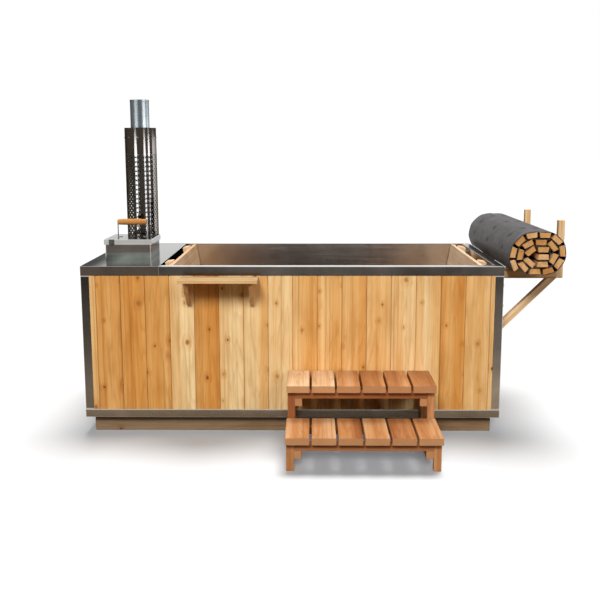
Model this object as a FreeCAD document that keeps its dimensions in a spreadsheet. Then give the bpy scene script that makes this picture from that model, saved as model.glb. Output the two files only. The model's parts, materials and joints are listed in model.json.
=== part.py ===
"""Wood-burning hot tub: a boarded steel tub with a submerged stove under a deck at its left end,
a hatch, a shielded flue, leaning inner panels, a drinks shelf, a rack with the rolled cover and steps.

Frame: millimetres, +X to the right along the tub, +Y to the back, +Z up.
Origin: the middle of the footprint, on the floor.
"""
import FreeCAD
import Part
import Sketcher

import math
import os
import re

# Driving sizes in millimetres, degrees or counts
SIZES = {
    # Tub shell and steel frame
    "tub_length": 2000,
    "tub_width": 1000,
    "tub_height": 815,
    "steel": 2,
    "rim_skirt": 44,
    "rim_flange": 40,
    "rail_height": 40,
    "rail_flange": 60,
    "post_leg": 40,
    "post_gap": 1,
    "seam": 0.6,
    # Plinth and floor
    "plinth_height": 77,
    "plinth_inset": 36,
    "plinth_steel": 3,
    "bearer_width": 45,
    "bearer_count": 9,
    "floor_thick": 18,
    "floor_fit": 2,
    # Cladding boards and the rails behind them
    "board_thick": 18,
    "board_pitch": 117,
    "first_board": 67,
    "board_gap": 1,
    "board_bevel": 2.5,
    "girt_height": 60,
    "girt_rows": 4,
    # Water basin
    "basin_wall": 2,
    # Leaning inner panels
    "panel_lean": 10,
    "panel_thick": 22,
    "panel_below_rim": 2,
    "panel_boards": 6,
    "panel_gap": 2,
    "panel_side_gap": 10,
    "fence_gap": 40,
    "backrest_gap": 45,
    "batten_width": 88,
    "batten_thick": 32,
    "batten_inset": 98,
    "batten_proud": 6,
    "batten_foot": 40,
    "clip_width": 25,
    "clip_drop": 22,
    # Stove deck and submerged stove
    "deck_length": 372,
    "deck_lip": 25,
    "deck_lip_inset": 12,
    "deck_fit": 1,
    "firebox_from_end": 195,
    "firebox_y": -5,
    "firebox_width": 290,
    "firebox_length": 530,
    "firebox_lift": 81,
    "firebox_below_rim": 51,
    "firebox_wall": 4,
    "firebox_foot": 40,
    "grate_height": 60,
    "grate_bar": 14,
    "grate_depth": 12,
    "grate_bars": 9,
    "grate_fit": 2,
    # Hatch over the stove, its lid, hinge and handle
    "hatch_from_end": 177,
    "hatch_y": -103,
    "hatch_width": 228,
    "hatch_depth": 260,
    "hatch_rise": 93,
    "hatch_flange": 12,
    "seal_width": 10,
    "seal_height": 3.7,
    "lid_rest_gap": 0.3,
    "lid_overhang": 6,
    "lid_skirt": 26,
    "hinge_radius": 5,
    "hinge_pin_radius": 2,
    "hinge_fit": 0.05,
    "hinge_length": 80,
    "hinge_knuckle": 20,
    "hinge_gap": 1,
    "hinge_leaf": 34,
    "grip_length": 147,
    "grip_radius": 16,
    "grip_end_radius": 14,
    "grip_height": 76,
    "grip_offset": 5,
    "bracket_thick": 3,
    "bracket_width": 16,
    "bracket_foot": 22,
    "bracket_above": 9,
    "catch_width": 28,
    "catch_height": 30,
    "catch_thick": 6,
    "catch_inset": 26,
    "catch_round": 4,
    # Flue pipe and its heat shield
    "flue_from_end": 185,
    "flue_y": 150,
    "flue_radius": 50,
    "flue_wall": 1.5,
    "flue_rise": 796,
    "collar_radius": 62,
    "collar_height": 26,
    "flue_fit": 0.2,
    "shield_radius": 83,
    "shield_wall": 1.2,
    "shield_height": 651,
    "shield_screw_drop": 50,
    "shield_screw_radius": 4.5,
    "shield_screw_proud": 3,
    "shield_screws": 10,
    "spacer_width": 8,
    "spacer_height": 12,
    # Drinks shelf
    "shelf_from_deck": 289,
    "shelf_length": 368,
    "shelf_depth": 127,
    "shelf_below_rim": 49,
    "shelf_thick": 14,
    "shelf_bracket_spread": 299,
    "shelf_bracket_thick": 16,
    "shelf_bracket_drop": 117,
    "shelf_bracket_reach": 104,
    "shelf_bracket_nose": 18,
    "shelf_bracket_toe": 20,
    "screw_head_radius": 4.5,
    "screw_head": 3,
    "screw_radius": 2,
    "screw_length": 40,
    # Cover rack on the right end
    "rack_spread": 690,
    "rack_timber": 40,
    "rack_below_rim": 36,
    "rack_reach": 280,
    "rack_post": 32,
    "rack_post_rise": 240,
    "rack_strut": 32,
    "rack_batten": 30,
    "rack_batten_drop": 277,
    "bolt_radius": 4,
    "bolt_head_radius": 8,
    "bolt_head": 5,
    "bolt_drop": 39,
    "bolt_spacing": 100,
    # Rolled cover
    "cover_width": 1100,
    "cover_slats": 21,
    "slat_outer": 52,
    "slat_inner": 44,
    "slat_thick": 24,
    "slat_pitch": 60.5,
    "slat_start": 19,
    "cloth_thick": 2.4,
    "roll_slack": 7.2,
    "roll_core": 17.3,
    "roll_run": 42,
    "roll_rest_gap": 0.3,
    "roll_post_gap": 9,
    # Drain valve low on the right end
    "drain_y": 250,
    "drain_rise": 91,
    "drain_bore": 10,
    "drain_radius": 16,
    "drain_flange": 26,
    "drain_flange_thick": 5,
    "drain_fit": 0.5,
    "drain_tail": 30,
    "valve_radius": 22,
    "valve_length": 60,
    "ball_radius": 14,
    "ball_fit": 0.3,
    "stem_radius": 4.5,
    "stem_fit": 0.05,
    "neck_radius": 9,
    "neck_height": 30,
    "spigot_radius": 13.2,
    "spigot_length": 20,
    "lever_length": 92,
    "lever_width": 16,
    "lever_thick": 4,
    "lever_gap": 1,
    # Free-standing steps
    "step_x": 318.5,
    "step_gap": 5,
    "step_depth": 280,
    "step_rise": 156.5,
    "step_slats": 6,
    "step_slat_width": 104,
    "step_slat_gap": 10,
    "step_slat_thick": 33,
    "step_timber": 33,
    "step_bearer": 36,
    "step_nosing": 25,
    "step_clear": 5,
    "step_leg_inset": 4.5,
    "step_bevel": 2,
}

# Places that follow from those sizes, as formulas in the same sheet
PLACES = {
    "basin_floor": "plinth_height + steel + floor_thick + basin_wall",
    "deck_edge_x": "deck_length - tub_length / 2",
    "fence_top_x": "deck_edge_x + fence_gap",
    "backrest_top_x": "tub_length / 2 - rim_flange - basin_wall - backrest_gap",
    "panel_top": "tub_height - panel_below_rim",
    "firebox_x": "firebox_from_end - tub_length / 2",
    "firebox_base": "basin_floor + firebox_lift",
    "firebox_top": "tub_height - firebox_below_rim",
    "hatch_x": "hatch_from_end - tub_length / 2",
    "hatch_top": "tub_height + hatch_rise",
    "flue_x": "flue_from_end - tub_length / 2",
    "flue_top": "tub_height + flue_rise",
    "shield_top": "tub_height + shield_height",
    "shelf_x": "deck_edge_x + shelf_from_deck",
    "shelf_top": "tub_height - shelf_below_rim",
    "rack_arm_top": "tub_height - rack_below_rim",
    "rack_post_top": "rack_arm_top + rack_post_rise",
    "rack_batten_base": "rack_arm_top - rack_timber - rack_batten_drop",
    "bolt_high": "rack_arm_top - rack_timber - bolt_drop",
    "bolt_low": "bolt_high - bolt_spacing",
    "drain_z": "basin_floor + drain_rise",
}

# How far a cutting tool stands past the face that it cuts
OVERCUT = 5

doc = FreeCAD.newDocument("hot_tub")
sheet = doc.addObject("Spreadsheet::Sheet", "Sizes")
for row, (alias, number) in enumerate(SIZES.items(), start=1):
    sheet.set(f"A{row}", alias)
    sheet.set(f"B{row}", str(number))
    sheet.setAlias(f"B{row}", alias)
for row, (alias, formula) in enumerate(PLACES.items(), start=len(SIZES) + 1):
    sheet.set(f"A{row}", alias)
    sheet.set(f"B{row}", "=" + formula)
    sheet.setAlias(f"B{row}", alias)
doc.recompute()

NODES = []
WORD = re.compile(r"[A-Za-z_]+")
UPRIGHT = FreeCAD.Rotation()
ALONG_X = FreeCAD.Rotation(FreeCAD.Vector(0, 1, 0), 90)


# Helpers for sizes, primitives and booleans

def bound(text):
    """Point each size's name in an expression at its cell in the sheet."""
    named = SIZES.keys() | PLACES.keys()
    return WORD.sub(lambda word: "Sizes." + word[0] if word[0] in named else word[0], str(text))


def value(text):
    """The number that an expression of sizes has now."""
    return float(sheet.evalExpression(bound(text)))


def bind(obj, prop, text):
    """Drive a property from the sheet."""
    obj.setExpression(prop, bound(text))


def place(obj, x, y, z, turn=UPRIGHT):
    """Set an object's place, each coordinate driven from the sheet."""
    obj.Placement = FreeCAD.Placement(FreeCAD.Vector(), turn)
    for axis, text in zip("xyz", (x, y, z)):
        bind(obj, "Placement.Base." + axis, text)


def box(name, x, y, z, dx, dy, dz, turn=UPRIGHT):
    """A stick or plate from its low corner and its three sides."""
    obj = doc.addObject("Part::Box", name)
    for prop, text in (("Length", dx), ("Width", dy), ("Height", dz)):
        bind(obj, prop, text)
    place(obj, x, y, z, turn)
    return obj


def cylinder(name, x, y, z, radius, height, turn=UPRIGHT):
    """A round bar from the middle of its base."""
    obj = doc.addObject("Part::Cylinder", name)
    bind(obj, "Radius", radius)
    bind(obj, "Height", height)
    place(obj, x, y, z, turn)
    return obj


def fuse(name, parts):
    """Join overlapping shapes into one solid."""
    obj = doc.addObject("Part::MultiFuse", name)
    obj.Shapes = parts
    obj.Refine = True
    return obj


def group(name, parts):
    """Keep separate solids of one kind together."""
    obj = doc.addObject("Part::Compound", name)
    obj.Links = parts
    return obj


def cut(name, base, tools):
    """Take one or more tools out of a base."""
    obj = doc.addObject("Part::Cut", name)
    obj.Base = base
    obj.Tool = tools[0] if len(tools) == 1 else group(name + "_tools", tools)
    return obj


def ease(name, base, wanted, kind, depth):
    """Bevel or round the edges of a base that a test picks."""
    doc.recompute()
    obj = doc.addObject(kind, name)
    obj.Base = base
    size = value(depth)
    obj.Edges = [(i, size, size) for i, edge in enumerate(base.Shape.Edges, start=1) if wanted(edge)]
    return obj


def node(obj, label):
    """Hand a finished sub-part over under its own label."""
    obj.Label = label
    NODES.append(obj)
    return obj


def outline(body, role, points):
    """A closed sketch of straight sides, each corner driven from the sheet."""
    plane = [p for p in body.Origin.OriginFeatures if p.Role == role][0]
    sketch = body.newObject("Sketcher::SketchObject", body.Name + "_sketch")
    sketch.AttachmentSupport = [(plane, "")]
    sketch.MapMode = "FlatFace"
    corners = [FreeCAD.Vector(value(u), value(v), 0) for u, v in points]
    for start, end in zip(corners, corners[1:] + corners[:1]):
        sketch.addGeometry(Part.LineSegment(start, end))
    last = len(points)
    for i, (u, v) in enumerate(points):
        sketch.addConstraint(Sketcher.Constraint("Coincident", i, 2, (i + 1) % last, 1))
        for kind, text in (("DistanceX", u), ("DistanceY", v)):
            k = sketch.addConstraint(Sketcher.Constraint(kind, -1, 1, i, 1, value(text)))
            sketch.setExpression(f"Constraints[{k}]", bound(text))
    return sketch


def plate_body(name, role, points, thickness):
    """A body padded both ways from an outline in its middle plane."""
    body = doc.addObject("PartDesign::Body", name)
    sketch = outline(body, role, points)
    pad = body.newObject("PartDesign::Pad", name + "_pad")
    pad.Profile = sketch
    pad.Midplane = True
    bind(pad, "Length", thickness)
    return body


def ring_body(name, outer, inner, height):
    """A tube padded up from two circles about its own axis."""
    body = doc.addObject("PartDesign::Body", name)
    plane = [p for p in body.Origin.OriginFeatures if p.Role == "XY_Plane"][0]
    sketch = body.newObject("Sketcher::SketchObject", name + "_sketch")
    sketch.AttachmentSupport = [(plane, "")]
    sketch.MapMode = "FlatFace"
    for i, text in enumerate((outer, inner)):
        sketch.addGeometry(Part.Circle(FreeCAD.Vector(), FreeCAD.Vector(0, 0, 1), value(text)))
        sketch.addConstraint(Sketcher.Constraint("Coincident", i, 3, -1, 1))
        k = sketch.addConstraint(Sketcher.Constraint("Radius", i, value(text)))
        sketch.setExpression(f"Constraints[{k}]", bound(text))
    pad = body.newObject("PartDesign::Pad", name + "_pad")
    pad.Profile = sketch
    bind(pad, "Length", height)
    return body


# Shared places, written once as expressions of the sizes
END = "tub_length / 2"
SIDE = "tub_width / 2"
FLOOR_BASE = "(plinth_height + steel)"
FLOOR_TOP = "(plinth_height + steel + floor_thick)"
BASIN_FLOOR = "basin_floor"
DECK_BASE = "(tub_height - steel)"
SKIRT_BASE = "(tub_height - rim_skirt)"
GIRT = "(rim_flange - steel - board_thick)"
BASIN_END = "(tub_length / 2 - rim_flange)"
BASIN_SIDE = "(tub_width / 2 - rim_flange)"


# Plinth and floor

def make_plinth():
    """A recessed steel skirt round cross bearers that carry the floor panel."""
    outer = box("plinth_outer", f"-({END} - plinth_inset)", f"-({SIDE} - plinth_inset)", 0,
                "tub_length - 2 * plinth_inset", "tub_width - 2 * plinth_inset", "plinth_height")
    inner = box("plinth_inner", f"-({END} - plinth_inset - plinth_steel)",
                f"-({SIDE} - plinth_inset - plinth_steel)", -OVERCUT,
                "tub_length - 2 * (plinth_inset + plinth_steel)",
                "tub_width - 2 * (plinth_inset + plinth_steel)", f"plinth_height + {2 * OVERCUT}")
    node(cut("plinth_skirt_cut", outer, [inner]), "plinth_skirt")

    count = int(value("bearer_count"))
    bearers = []
    run = "(tub_length - 2 * rail_flange - bearer_width)"
    for i in range(count):
        bearers.append(box(f"bearer_{i}", f"-({END} - rail_flange) + {i / (count - 1)} * {run}",
                           f"-({SIDE} - rail_flange)", 0,
                           "bearer_width", "tub_width - 2 * rail_flange", FLOOR_BASE))
    node(group("bearers", bearers), "plinth_bearers")

    wall = "(steel + board_thick + floor_fit)"
    node(box("floor", f"-({END} - {wall})", f"-({SIDE} - {wall})", FLOOR_BASE,
             f"tub_length - 2 * {wall}", f"tub_width - 2 * {wall}", "floor_thick"), "floor_panel")


# Steel frame: bottom rails, corner posts and top rim

def make_rails():
    """Angle rails that carry the boards; the long ones run through, the short ones fit between."""
    for name, y_wall, y_flange in (("front", f"-{SIDE}", f"-{SIDE}"),
                                   ("back", f"{SIDE} - steel", f"{SIDE} - rail_flange")):
        wall = box(f"rail_{name}_wall", f"-{END}", y_wall, "plinth_height",
                   "tub_length", "steel", "rail_height")
        flange = box(f"rail_{name}_flange", f"-{END}", y_flange, "plinth_height",
                     "tub_length", "rail_flange", "steel")
        node(fuse(f"rail_{name}", [wall, flange]), f"bottom_rail_{name}")
    for name, x_wall, x_flange in (("left", f"-{END}", f"-{END}"),
                                   ("right", f"{END} - steel", f"{END} - rail_flange")):
        wall = box(f"rail_{name}_wall", x_wall, f"-({SIDE} - steel)", FLOOR_BASE,
                   "steel", "tub_width - 2 * steel", "rail_height - steel")
        flange = box(f"rail_{name}_flange", x_flange, f"-({SIDE} - rail_flange)", "plinth_height",
                     "rail_flange", "tub_width - 2 * rail_flange", "steel")
        node(fuse(f"rail_{name}", [wall, flange]), f"bottom_rail_{name}")


def make_posts():
    """Angle posts over the boards' ends, with a fine gap above the rail and below the rim."""
    base = "plinth_height + rail_height + post_gap"
    height = f"{SKIRT_BASE} - plinth_height - rail_height - 2 * post_gap"
    posts = []
    for end, x_leg, x_web in (("left", f"-{END}", f"-{END}"),
                              ("right", f"{END} - post_leg", f"{END} - steel")):
        for side, y_leg, y_web in (("front", f"-{SIDE}", f"-{SIDE}"),
                                   ("back", f"{SIDE} - steel", f"{SIDE} - post_leg")):
            leg = box(f"post_{side}_{end}_leg", x_leg, y_leg, base, "post_leg", "steel", height)
            web = box(f"post_{side}_{end}_web", x_web, y_web, base, "steel", "post_leg", height)
            posts.append(fuse(f"post_{side}_{end}", [leg, web]))
    node(group("posts", posts), "corner_posts")


def make_rim():
    """Folded rim strips on three sides of the bathing end; the deck's own folds close the fourth."""
    start = "(deck_edge_x + seam)"
    for name, y_top, y_skirt in (("front", f"-{SIDE}", f"-{SIDE}"),
                                 ("back", f"{SIDE} - rim_flange", f"{SIDE} - steel")):
        top = box(f"rim_{name}_top", start, y_top, DECK_BASE, f"{END} - {start}", "rim_flange", "steel")
        skirt = box(f"rim_{name}_skirt", start, y_skirt, SKIRT_BASE, f"{END} - {start}", "steel", "rim_skirt")
        node(fuse(f"rim_{name}_fold", [top, skirt]), f"rim_{name}")
    top = box("rim_right_top", f"{END} - rim_flange", f"-({SIDE} - rim_flange - seam)", DECK_BASE,
              "rim_flange", "tub_width - 2 * rim_flange - 2 * seam", "steel")
    skirt = box("rim_right_skirt", f"{END} - steel", f"-({SIDE} - steel)", SKIRT_BASE,
                "steel", "tub_width - 2 * steel", "rim_skirt - steel")
    node(fuse("rim_right_fold", [top, skirt]), "rim_right")


# Cladding boards and the girts behind them

def board(name, x, y, dx, dy, out):
    """One upright board with its outer long edges bevelled."""
    plain = box(name + "_plain", x, y, FLOOR_BASE, dx, dy, f"{DECK_BASE} - {FLOOR_BASE}")
    doc.recompute()
    reach = max(edge.CenterOfMass.dot(out) for edge in plain.Shape.Edges)

    def outer_upright(edge):
        along = edge.tangentAt(edge.FirstParameter)
        return abs(along.z) > 0.9 and edge.CenterOfMass.dot(out) > reach - 0.01

    return ease(name, plain, outer_upright, "Part::Chamfer", "board_bevel")


def board_run(length):
    """Offsets and widths, as expressions, of the boards along a wall: ripped, full ones, ripped."""
    full = math.floor(value(f"({length} - first_board) / board_pitch"))
    spans = [("0", "first_board")]
    for i in range(full):
        spans.append((f"first_board + {i} * board_pitch", "board_pitch"))
    spans.append((f"first_board + {full} * board_pitch", f"{length} - first_board - {full} * board_pitch"))
    least = value("first_board / 4")
    return [(offset, f"{width} - board_gap") for offset, width in spans if value(width) > least]


def make_cladding(drills):
    """Upright boards on all four sides, standing on the bottom rails behind the steel."""
    long_wall = "(tub_length - 2 * steel)"
    short_wall = "(tub_width - 2 * steel - 2 * board_thick)"
    for name, y, out in (("front", f"-({SIDE} - steel)", FreeCAD.Vector(0, -1, 0)),
                         ("back", f"{SIDE} - steel - board_thick", FreeCAD.Vector(0, 1, 0))):
        boards = []
        for i, (offset, width) in enumerate(board_run(long_wall)):
            boards.append(board(f"board_{name}_{i}", f"-({END} - steel) + {offset}", y,
                                width, "board_thick", out))
        node(group(f"boards_{name}", boards), f"cladding_{name}")
    for name, x, out in (("left", f"-({END} - steel)", FreeCAD.Vector(-1, 0, 0)),
                         ("right", f"{END} - steel - board_thick", FreeCAD.Vector(1, 0, 0))):
        boards = []
        for i, (offset, width) in enumerate(board_run(short_wall)):
            boards.append(board(f"board_{name}_{i}", x, f"-({SIDE} - steel - board_thick) + {offset}",
                                "board_thick", width, out))
        if name == "right":
            wall = cut("boards_right_drilled", group("boards_right", boards), drills)
        else:
            wall = group("boards_left", boards)
        node(wall, f"cladding_{name}")


def make_girts():
    """Level timbers between the boards and the basin."""
    rows = int(value("girt_rows"))
    girts = []
    for i in range(rows):
        z = f"{FLOOR_TOP} + {i / (rows - 1)} * ({DECK_BASE} - girt_height - {FLOOR_TOP})"
        for name, y in (("front", f"-({BASIN_SIDE} + {GIRT})"), ("back", BASIN_SIDE)):
            girts.append(box(f"girt_{name}_{i}", f"-({BASIN_END} + {GIRT})", y, z,
                             f"2 * ({BASIN_END} + {GIRT})", GIRT, "girt_height"))
        for name, x in (("left", f"-({BASIN_END} + {GIRT})"), ("right", BASIN_END)):
            girts.append(box(f"girt_{name}_{i}", x, f"-{BASIN_SIDE}", z,
                             GIRT, f"2 * {BASIN_SIDE}", "girt_height"))
    node(group("girt_set", girts), "girts")


# Water basin and the leaning panels inside it

def make_basin():
    """A thin open steel tank, welded from five flat sheets, that hangs under the rim on the floor panel."""
    rise = f"{DECK_BASE} - {BASIN_FLOOR}"
    inner_side = f"({BASIN_SIDE} - basin_wall)"
    sheets = [box("basin_bottom", f"-{BASIN_END}", f"-{BASIN_SIDE}", FLOOR_TOP,
                  f"2 * {BASIN_END}", f"2 * {BASIN_SIDE}", "basin_wall")]
    for side, y in (("front", f"-{BASIN_SIDE}"), ("back", inner_side)):
        sheets.append(box(f"basin_{side}", f"-{BASIN_END}", y, BASIN_FLOOR,
                          f"2 * {BASIN_END}", "basin_wall", rise))
    left = box("basin_left", f"-{BASIN_END}", f"-{inner_side}", BASIN_FLOOR,
               "basin_wall", f"2 * {inner_side}", rise)
    right = box("basin_right", f"{BASIN_END} - basin_wall", f"-{inner_side}", BASIN_FLOOR,
                "basin_wall", f"2 * {inner_side}", rise)
    hole = cylinder("basin_drain_hole", f"{BASIN_END} - {OVERCUT}", "drain_y", "drain_z",
                    "drain_radius + drain_fit", 2 * OVERCUT, ALONG_X)
    sheets += [left, cut("basin_right_drilled", right, [hole])]
    node(group("basin_sheets", sheets), "basin")


def make_panels():
    """Boarded panels that lean away from the bather, each with two battens behind and clips to the shell."""
    tilt = "panel_lean * 1 deg"
    rise = f"((panel_top - {BASIN_FLOOR}) / cos({tilt}))"
    width = f"(2 * ({BASIN_SIDE} - basin_wall - panel_side_gap))"
    side = f"({BASIN_SIDE} - basin_wall - panel_side_gap)"
    count = int(value("panel_boards"))
    clips = []
    for name, top_x, hand in (("stove_fence", "fence_top_x", -1), ("backrest", "backrest_top_x", 1)):
        turn = FreeCAD.Rotation(FreeCAD.Vector(0, 1, 0), hand * value("panel_lean"))
        foot_x = f"({top_x} - {hand} * sin({tilt}) * {rise})"

        def spot(u, w):
            """World X and Z of a point u in front of the back face (towards +X) and w up the panel."""
            x = f"{foot_x} + cos({tilt}) * ({u}) + {hand} * sin({tilt}) * ({w})"
            z = f"{BASIN_FLOOR} - {hand} * sin({tilt}) * ({u}) + cos({tilt}) * ({w})"
            return x, z

        face = "0" if hand < 0 else "-panel_thick"
        back = "-batten_thick" if hand < 0 else "0"
        boards = []
        for i in range(count):
            x, z = spot(face, f"{i} * {rise} / {count}")
            boards.append(box(f"{name}_board_{i}", x, f"-{side}", z, "panel_thick", width,
                              f"{rise} / {count} - panel_gap", turn))
        node(group(f"{name}_boards", boards), name)

        battens = []
        x, z = spot(back, "batten_foot")
        for end, y in (("front", f"-({side} - batten_inset)"),
                       ("rear", f"{side} - batten_inset - batten_width")):
            battens.append(box(f"{name}_batten_{end}", x, y, z, "batten_thick", "batten_width",
                               f"{rise} - batten_foot + batten_proud", turn))
            clip_y = f"{y} + batten_width / 2 - clip_width / 2"
            clip_z = "(panel_top - clip_drop)"
            reach_w = f"(({clip_z} - {BASIN_FLOOR}) / cos({tilt}) + tan({tilt}) * batten_thick)"
            back_x, _ = spot(f"{hand} * batten_thick", reach_w)
            if hand < 0:
                clip = box(f"{name}_clip_{end}", "deck_edge_x", clip_y, clip_z,
                           f"{back_x} - seam - deck_edge_x", "clip_width", "steel")
            else:
                clip = box(f"{name}_clip_{end}", f"{back_x} + seam", clip_y, clip_z,
                           f"{BASIN_END} - basin_wall - ({back_x}) - seam", "clip_width", "steel")
            clips.append(clip)
        node(group(f"{name}_batten_pair", battens), f"{name}_battens")
    node(group("clip_set", clips), "panel_clips")


# Stove deck, submerged stove and hatch

def hatch_prism(name, inset, z, height):
    """A block of the hatch's plan, drawn in by an inset on every side."""
    return box(name, f"hatch_x - hatch_width / 2 + ({inset})", f"hatch_y - hatch_depth / 2 + ({inset})", z,
               f"hatch_width - 2 * ({inset})", f"hatch_depth - 2 * ({inset})", height)


def make_deck():
    """A folded plate over the stove, with outer skirts, an inner lip and holes for hatch and flue."""
    length = f"({END} + deck_edge_x)"
    lip_side = f"({BASIN_SIDE} - deck_lip_inset)"
    folds = [
        box("deck_top", f"-{END}", f"-{SIDE}", DECK_BASE, length, "tub_width", "steel"),
        box("deck_skirt_front", f"-{END}", f"-{SIDE}", SKIRT_BASE, length, "steel", "rim_skirt"),
        box("deck_skirt_back", f"-{END}", f"{SIDE} - steel", SKIRT_BASE, length, "steel", "rim_skirt"),
        box("deck_skirt_left", f"-{END}", f"-{SIDE}", SKIRT_BASE, "steel", "tub_width", "rim_skirt"),
        box("deck_inner_lip", "deck_edge_x - steel", f"-{lip_side}", "tub_height - deck_lip",
            "steel", f"2 * {lip_side}", "deck_lip"),
    ]
    hatch_hole = hatch_prism("deck_hatch_hole", "-deck_fit", f"{DECK_BASE} - {OVERCUT}", 3 * OVERCUT)
    flue_hole = cylinder("deck_flue_hole", "flue_x", "flue_y", f"{DECK_BASE} - {OVERCUT}",
                         "flue_radius + deck_fit", 3 * OVERCUT)
    node(cut("deck_cut", fuse("deck_folds", folds), [hatch_hole, flue_hole]), "stove_deck")


def make_stove():
    """A closed firebox on feet in the water, with throats for hatch and flue, and a loose grate on legs."""
    x = "(firebox_x - firebox_width / 2)"
    y = "(firebox_y - firebox_length / 2)"
    outer = box("firebox_outer", x, y, "firebox_base",
                "firebox_width", "firebox_length", "firebox_top - firebox_base")
    inner = box("firebox_inner", f"{x} + firebox_wall", f"{y} + firebox_wall", "firebox_base + firebox_wall",
                "firebox_width - 2 * firebox_wall", "firebox_length - 2 * firebox_wall",
                "firebox_top - firebox_base - 2 * firebox_wall")
    throat = hatch_prism("firebox_throat", "hatch_flange", f"firebox_top - {OVERCUT}", 2 * OVERCUT)
    flue_hole = cylinder("firebox_flue_hole", "flue_x", "flue_y", f"firebox_top - {OVERCUT}",
                         "flue_radius - 2 * flue_wall", 2 * OVERCUT)
    node(cut("firebox_shell", outer, [inner, throat, flue_hole]), "firebox")

    feet = []
    for i, foot_x in enumerate((x, f"{x} + firebox_width - firebox_foot")):
        for k, foot_y in enumerate((y, f"{y} + firebox_length - firebox_foot")):
            feet.append(box(f"foot_{i}_{k}", foot_x, foot_y, BASIN_FLOOR,
                            "firebox_foot", "firebox_foot", f"firebox_base - {BASIN_FLOOR}"))
    node(group("feet", feet), "firebox_feet")

    grate_z = "firebox_base + grate_height"
    bar_x = f"{x} + firebox_wall + grate_fit"
    bar_length = "firebox_width - 2 * firebox_wall - 2 * grate_fit"
    count = int(value("grate_bars"))
    run = "(firebox_length - 2 * firebox_wall - 2 * grate_fit - grate_bar)"
    bars = []
    for i in range(count):
        bar_y = f"{y} + firebox_wall + grate_fit + {i / (count - 1)} * {run}"
        bars.append(box(f"grate_bar_{i}", bar_x, bar_y, grate_z, bar_length, "grate_bar", "grate_depth"))
    for i, share in enumerate((1 / 4, 3 / 4)):
        bars.append(box(f"grate_tie_{i}", f"{bar_x} + {share} * ({bar_length}) - grate_bar / 2",
                        f"{y} + firebox_wall + grate_fit", grate_z,
                        "grate_bar", f"{run} + grate_bar", "grate_depth"))
    legs = []
    leg_front = f"{y} + firebox_wall + grate_fit"
    for i, leg_x in enumerate((bar_x, f"{bar_x} + {bar_length} - grate_bar")):
        for k, leg_y in enumerate((leg_front, f"{leg_front} + {run}")):
            legs.append(box(f"grate_leg_{i}_{k}", leg_x, leg_y, "firebox_base + firebox_wall",
                            "grate_bar", "grate_bar", "grate_height - firebox_wall"))
    node(group("grate_on_legs", [fuse("grate", bars)] + legs), "fire_grate")


def make_hatch():
    """The fuel hatch: a box through the deck with a turned-in top edge and a seal on it."""
    height = "(hatch_top - firebox_top)"
    outer = hatch_prism("hatch_outer", 0, "firebox_top", height)
    inner = hatch_prism("hatch_inner", "steel", f"firebox_top - {OVERCUT}", f"{height} + {OVERCUT} - steel")
    mouth = hatch_prism("hatch_mouth", "hatch_flange", "firebox_top", f"{height} + {OVERCUT}")
    node(cut("hatch_cut", outer, [inner, mouth]), "hatch_box")

    ring = hatch_prism("seal_outer", "steel / 2", "hatch_top", "seal_height")
    hole = hatch_prism("seal_inner", "steel / 2 + seal_width", f"hatch_top - {OVERCUT}",
                       f"seal_height + {2 * OVERCUT}")
    node(cut("seal_cut", ring, [hole]), "lid_seal")


LID_PLATE = "(hatch_top + seal_height + lid_rest_gap)"
LID_TOP = "(hatch_top + seal_height + lid_rest_gap + steel)"
LID_BACK = "(hatch_y + hatch_depth / 2 + lid_overhang)"
LID_FRONT = "(hatch_y - hatch_depth / 2 - lid_overhang)"
HINGE_Y = "(hatch_y + hatch_depth / 2 + lid_overhang + hinge_gap + hinge_radius)"
HINGE_Z = f"({LID_TOP} - lid_skirt + hinge_gap)"
GRIP_Y = "(hatch_y + grip_offset)"
GRIP_Z = f"({LID_TOP} + grip_height)"


def make_lid():
    """The folded lid, its catch, and a wooden grip between two steel brackets."""
    outer = hatch_prism("lid_outer", "-lid_overhang", f"{LID_TOP} - lid_skirt", "lid_skirt")
    inner = hatch_prism("lid_inner", "steel - lid_overhang", f"{LID_TOP} - lid_skirt - {OVERCUT}",
                        f"lid_skirt + {OVERCUT} - steel")
    node(cut("lid_cut", outer, [inner]), "hatch_lid")

    plain = box("catch_plain", "hatch_x - hatch_width / 2 - lid_overhang + catch_inset",
                f"{LID_FRONT} - catch_thick", f"{LID_TOP} - catch_height",
                "catch_width", "catch_thick", "catch_height")

    def through(edge):
        return abs(edge.tangentAt(edge.FirstParameter).y) > 0.9

    node(ease("catch_round_plate", plain, through, "Part::Fillet", "catch_round"), "lid_catch")

    brackets = []
    for name, x_leg, x_foot in (("left", "hatch_x - grip_length / 2 - bracket_thick",
                                 "hatch_x - grip_length / 2 - bracket_thick"),
                                ("right", "hatch_x + grip_length / 2",
                                 "hatch_x + grip_length / 2 + bracket_thick - bracket_foot")):
        y = f"{GRIP_Y} - bracket_width / 2"
        leg = box(f"grip_leg_{name}", x_leg, y, LID_TOP, "bracket_thick", "bracket_width",
                  "grip_height + bracket_above")
        foot = box(f"grip_foot_{name}", x_foot, y, LID_TOP, "bracket_foot", "bracket_width", "bracket_thick")
        brackets.append(fuse(f"grip_bracket_{name}", [leg, foot]))
    node(group("grip_brackets", brackets), "lid_handle_brackets")
    node(make_grip(), "lid_handle_grip")


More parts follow.
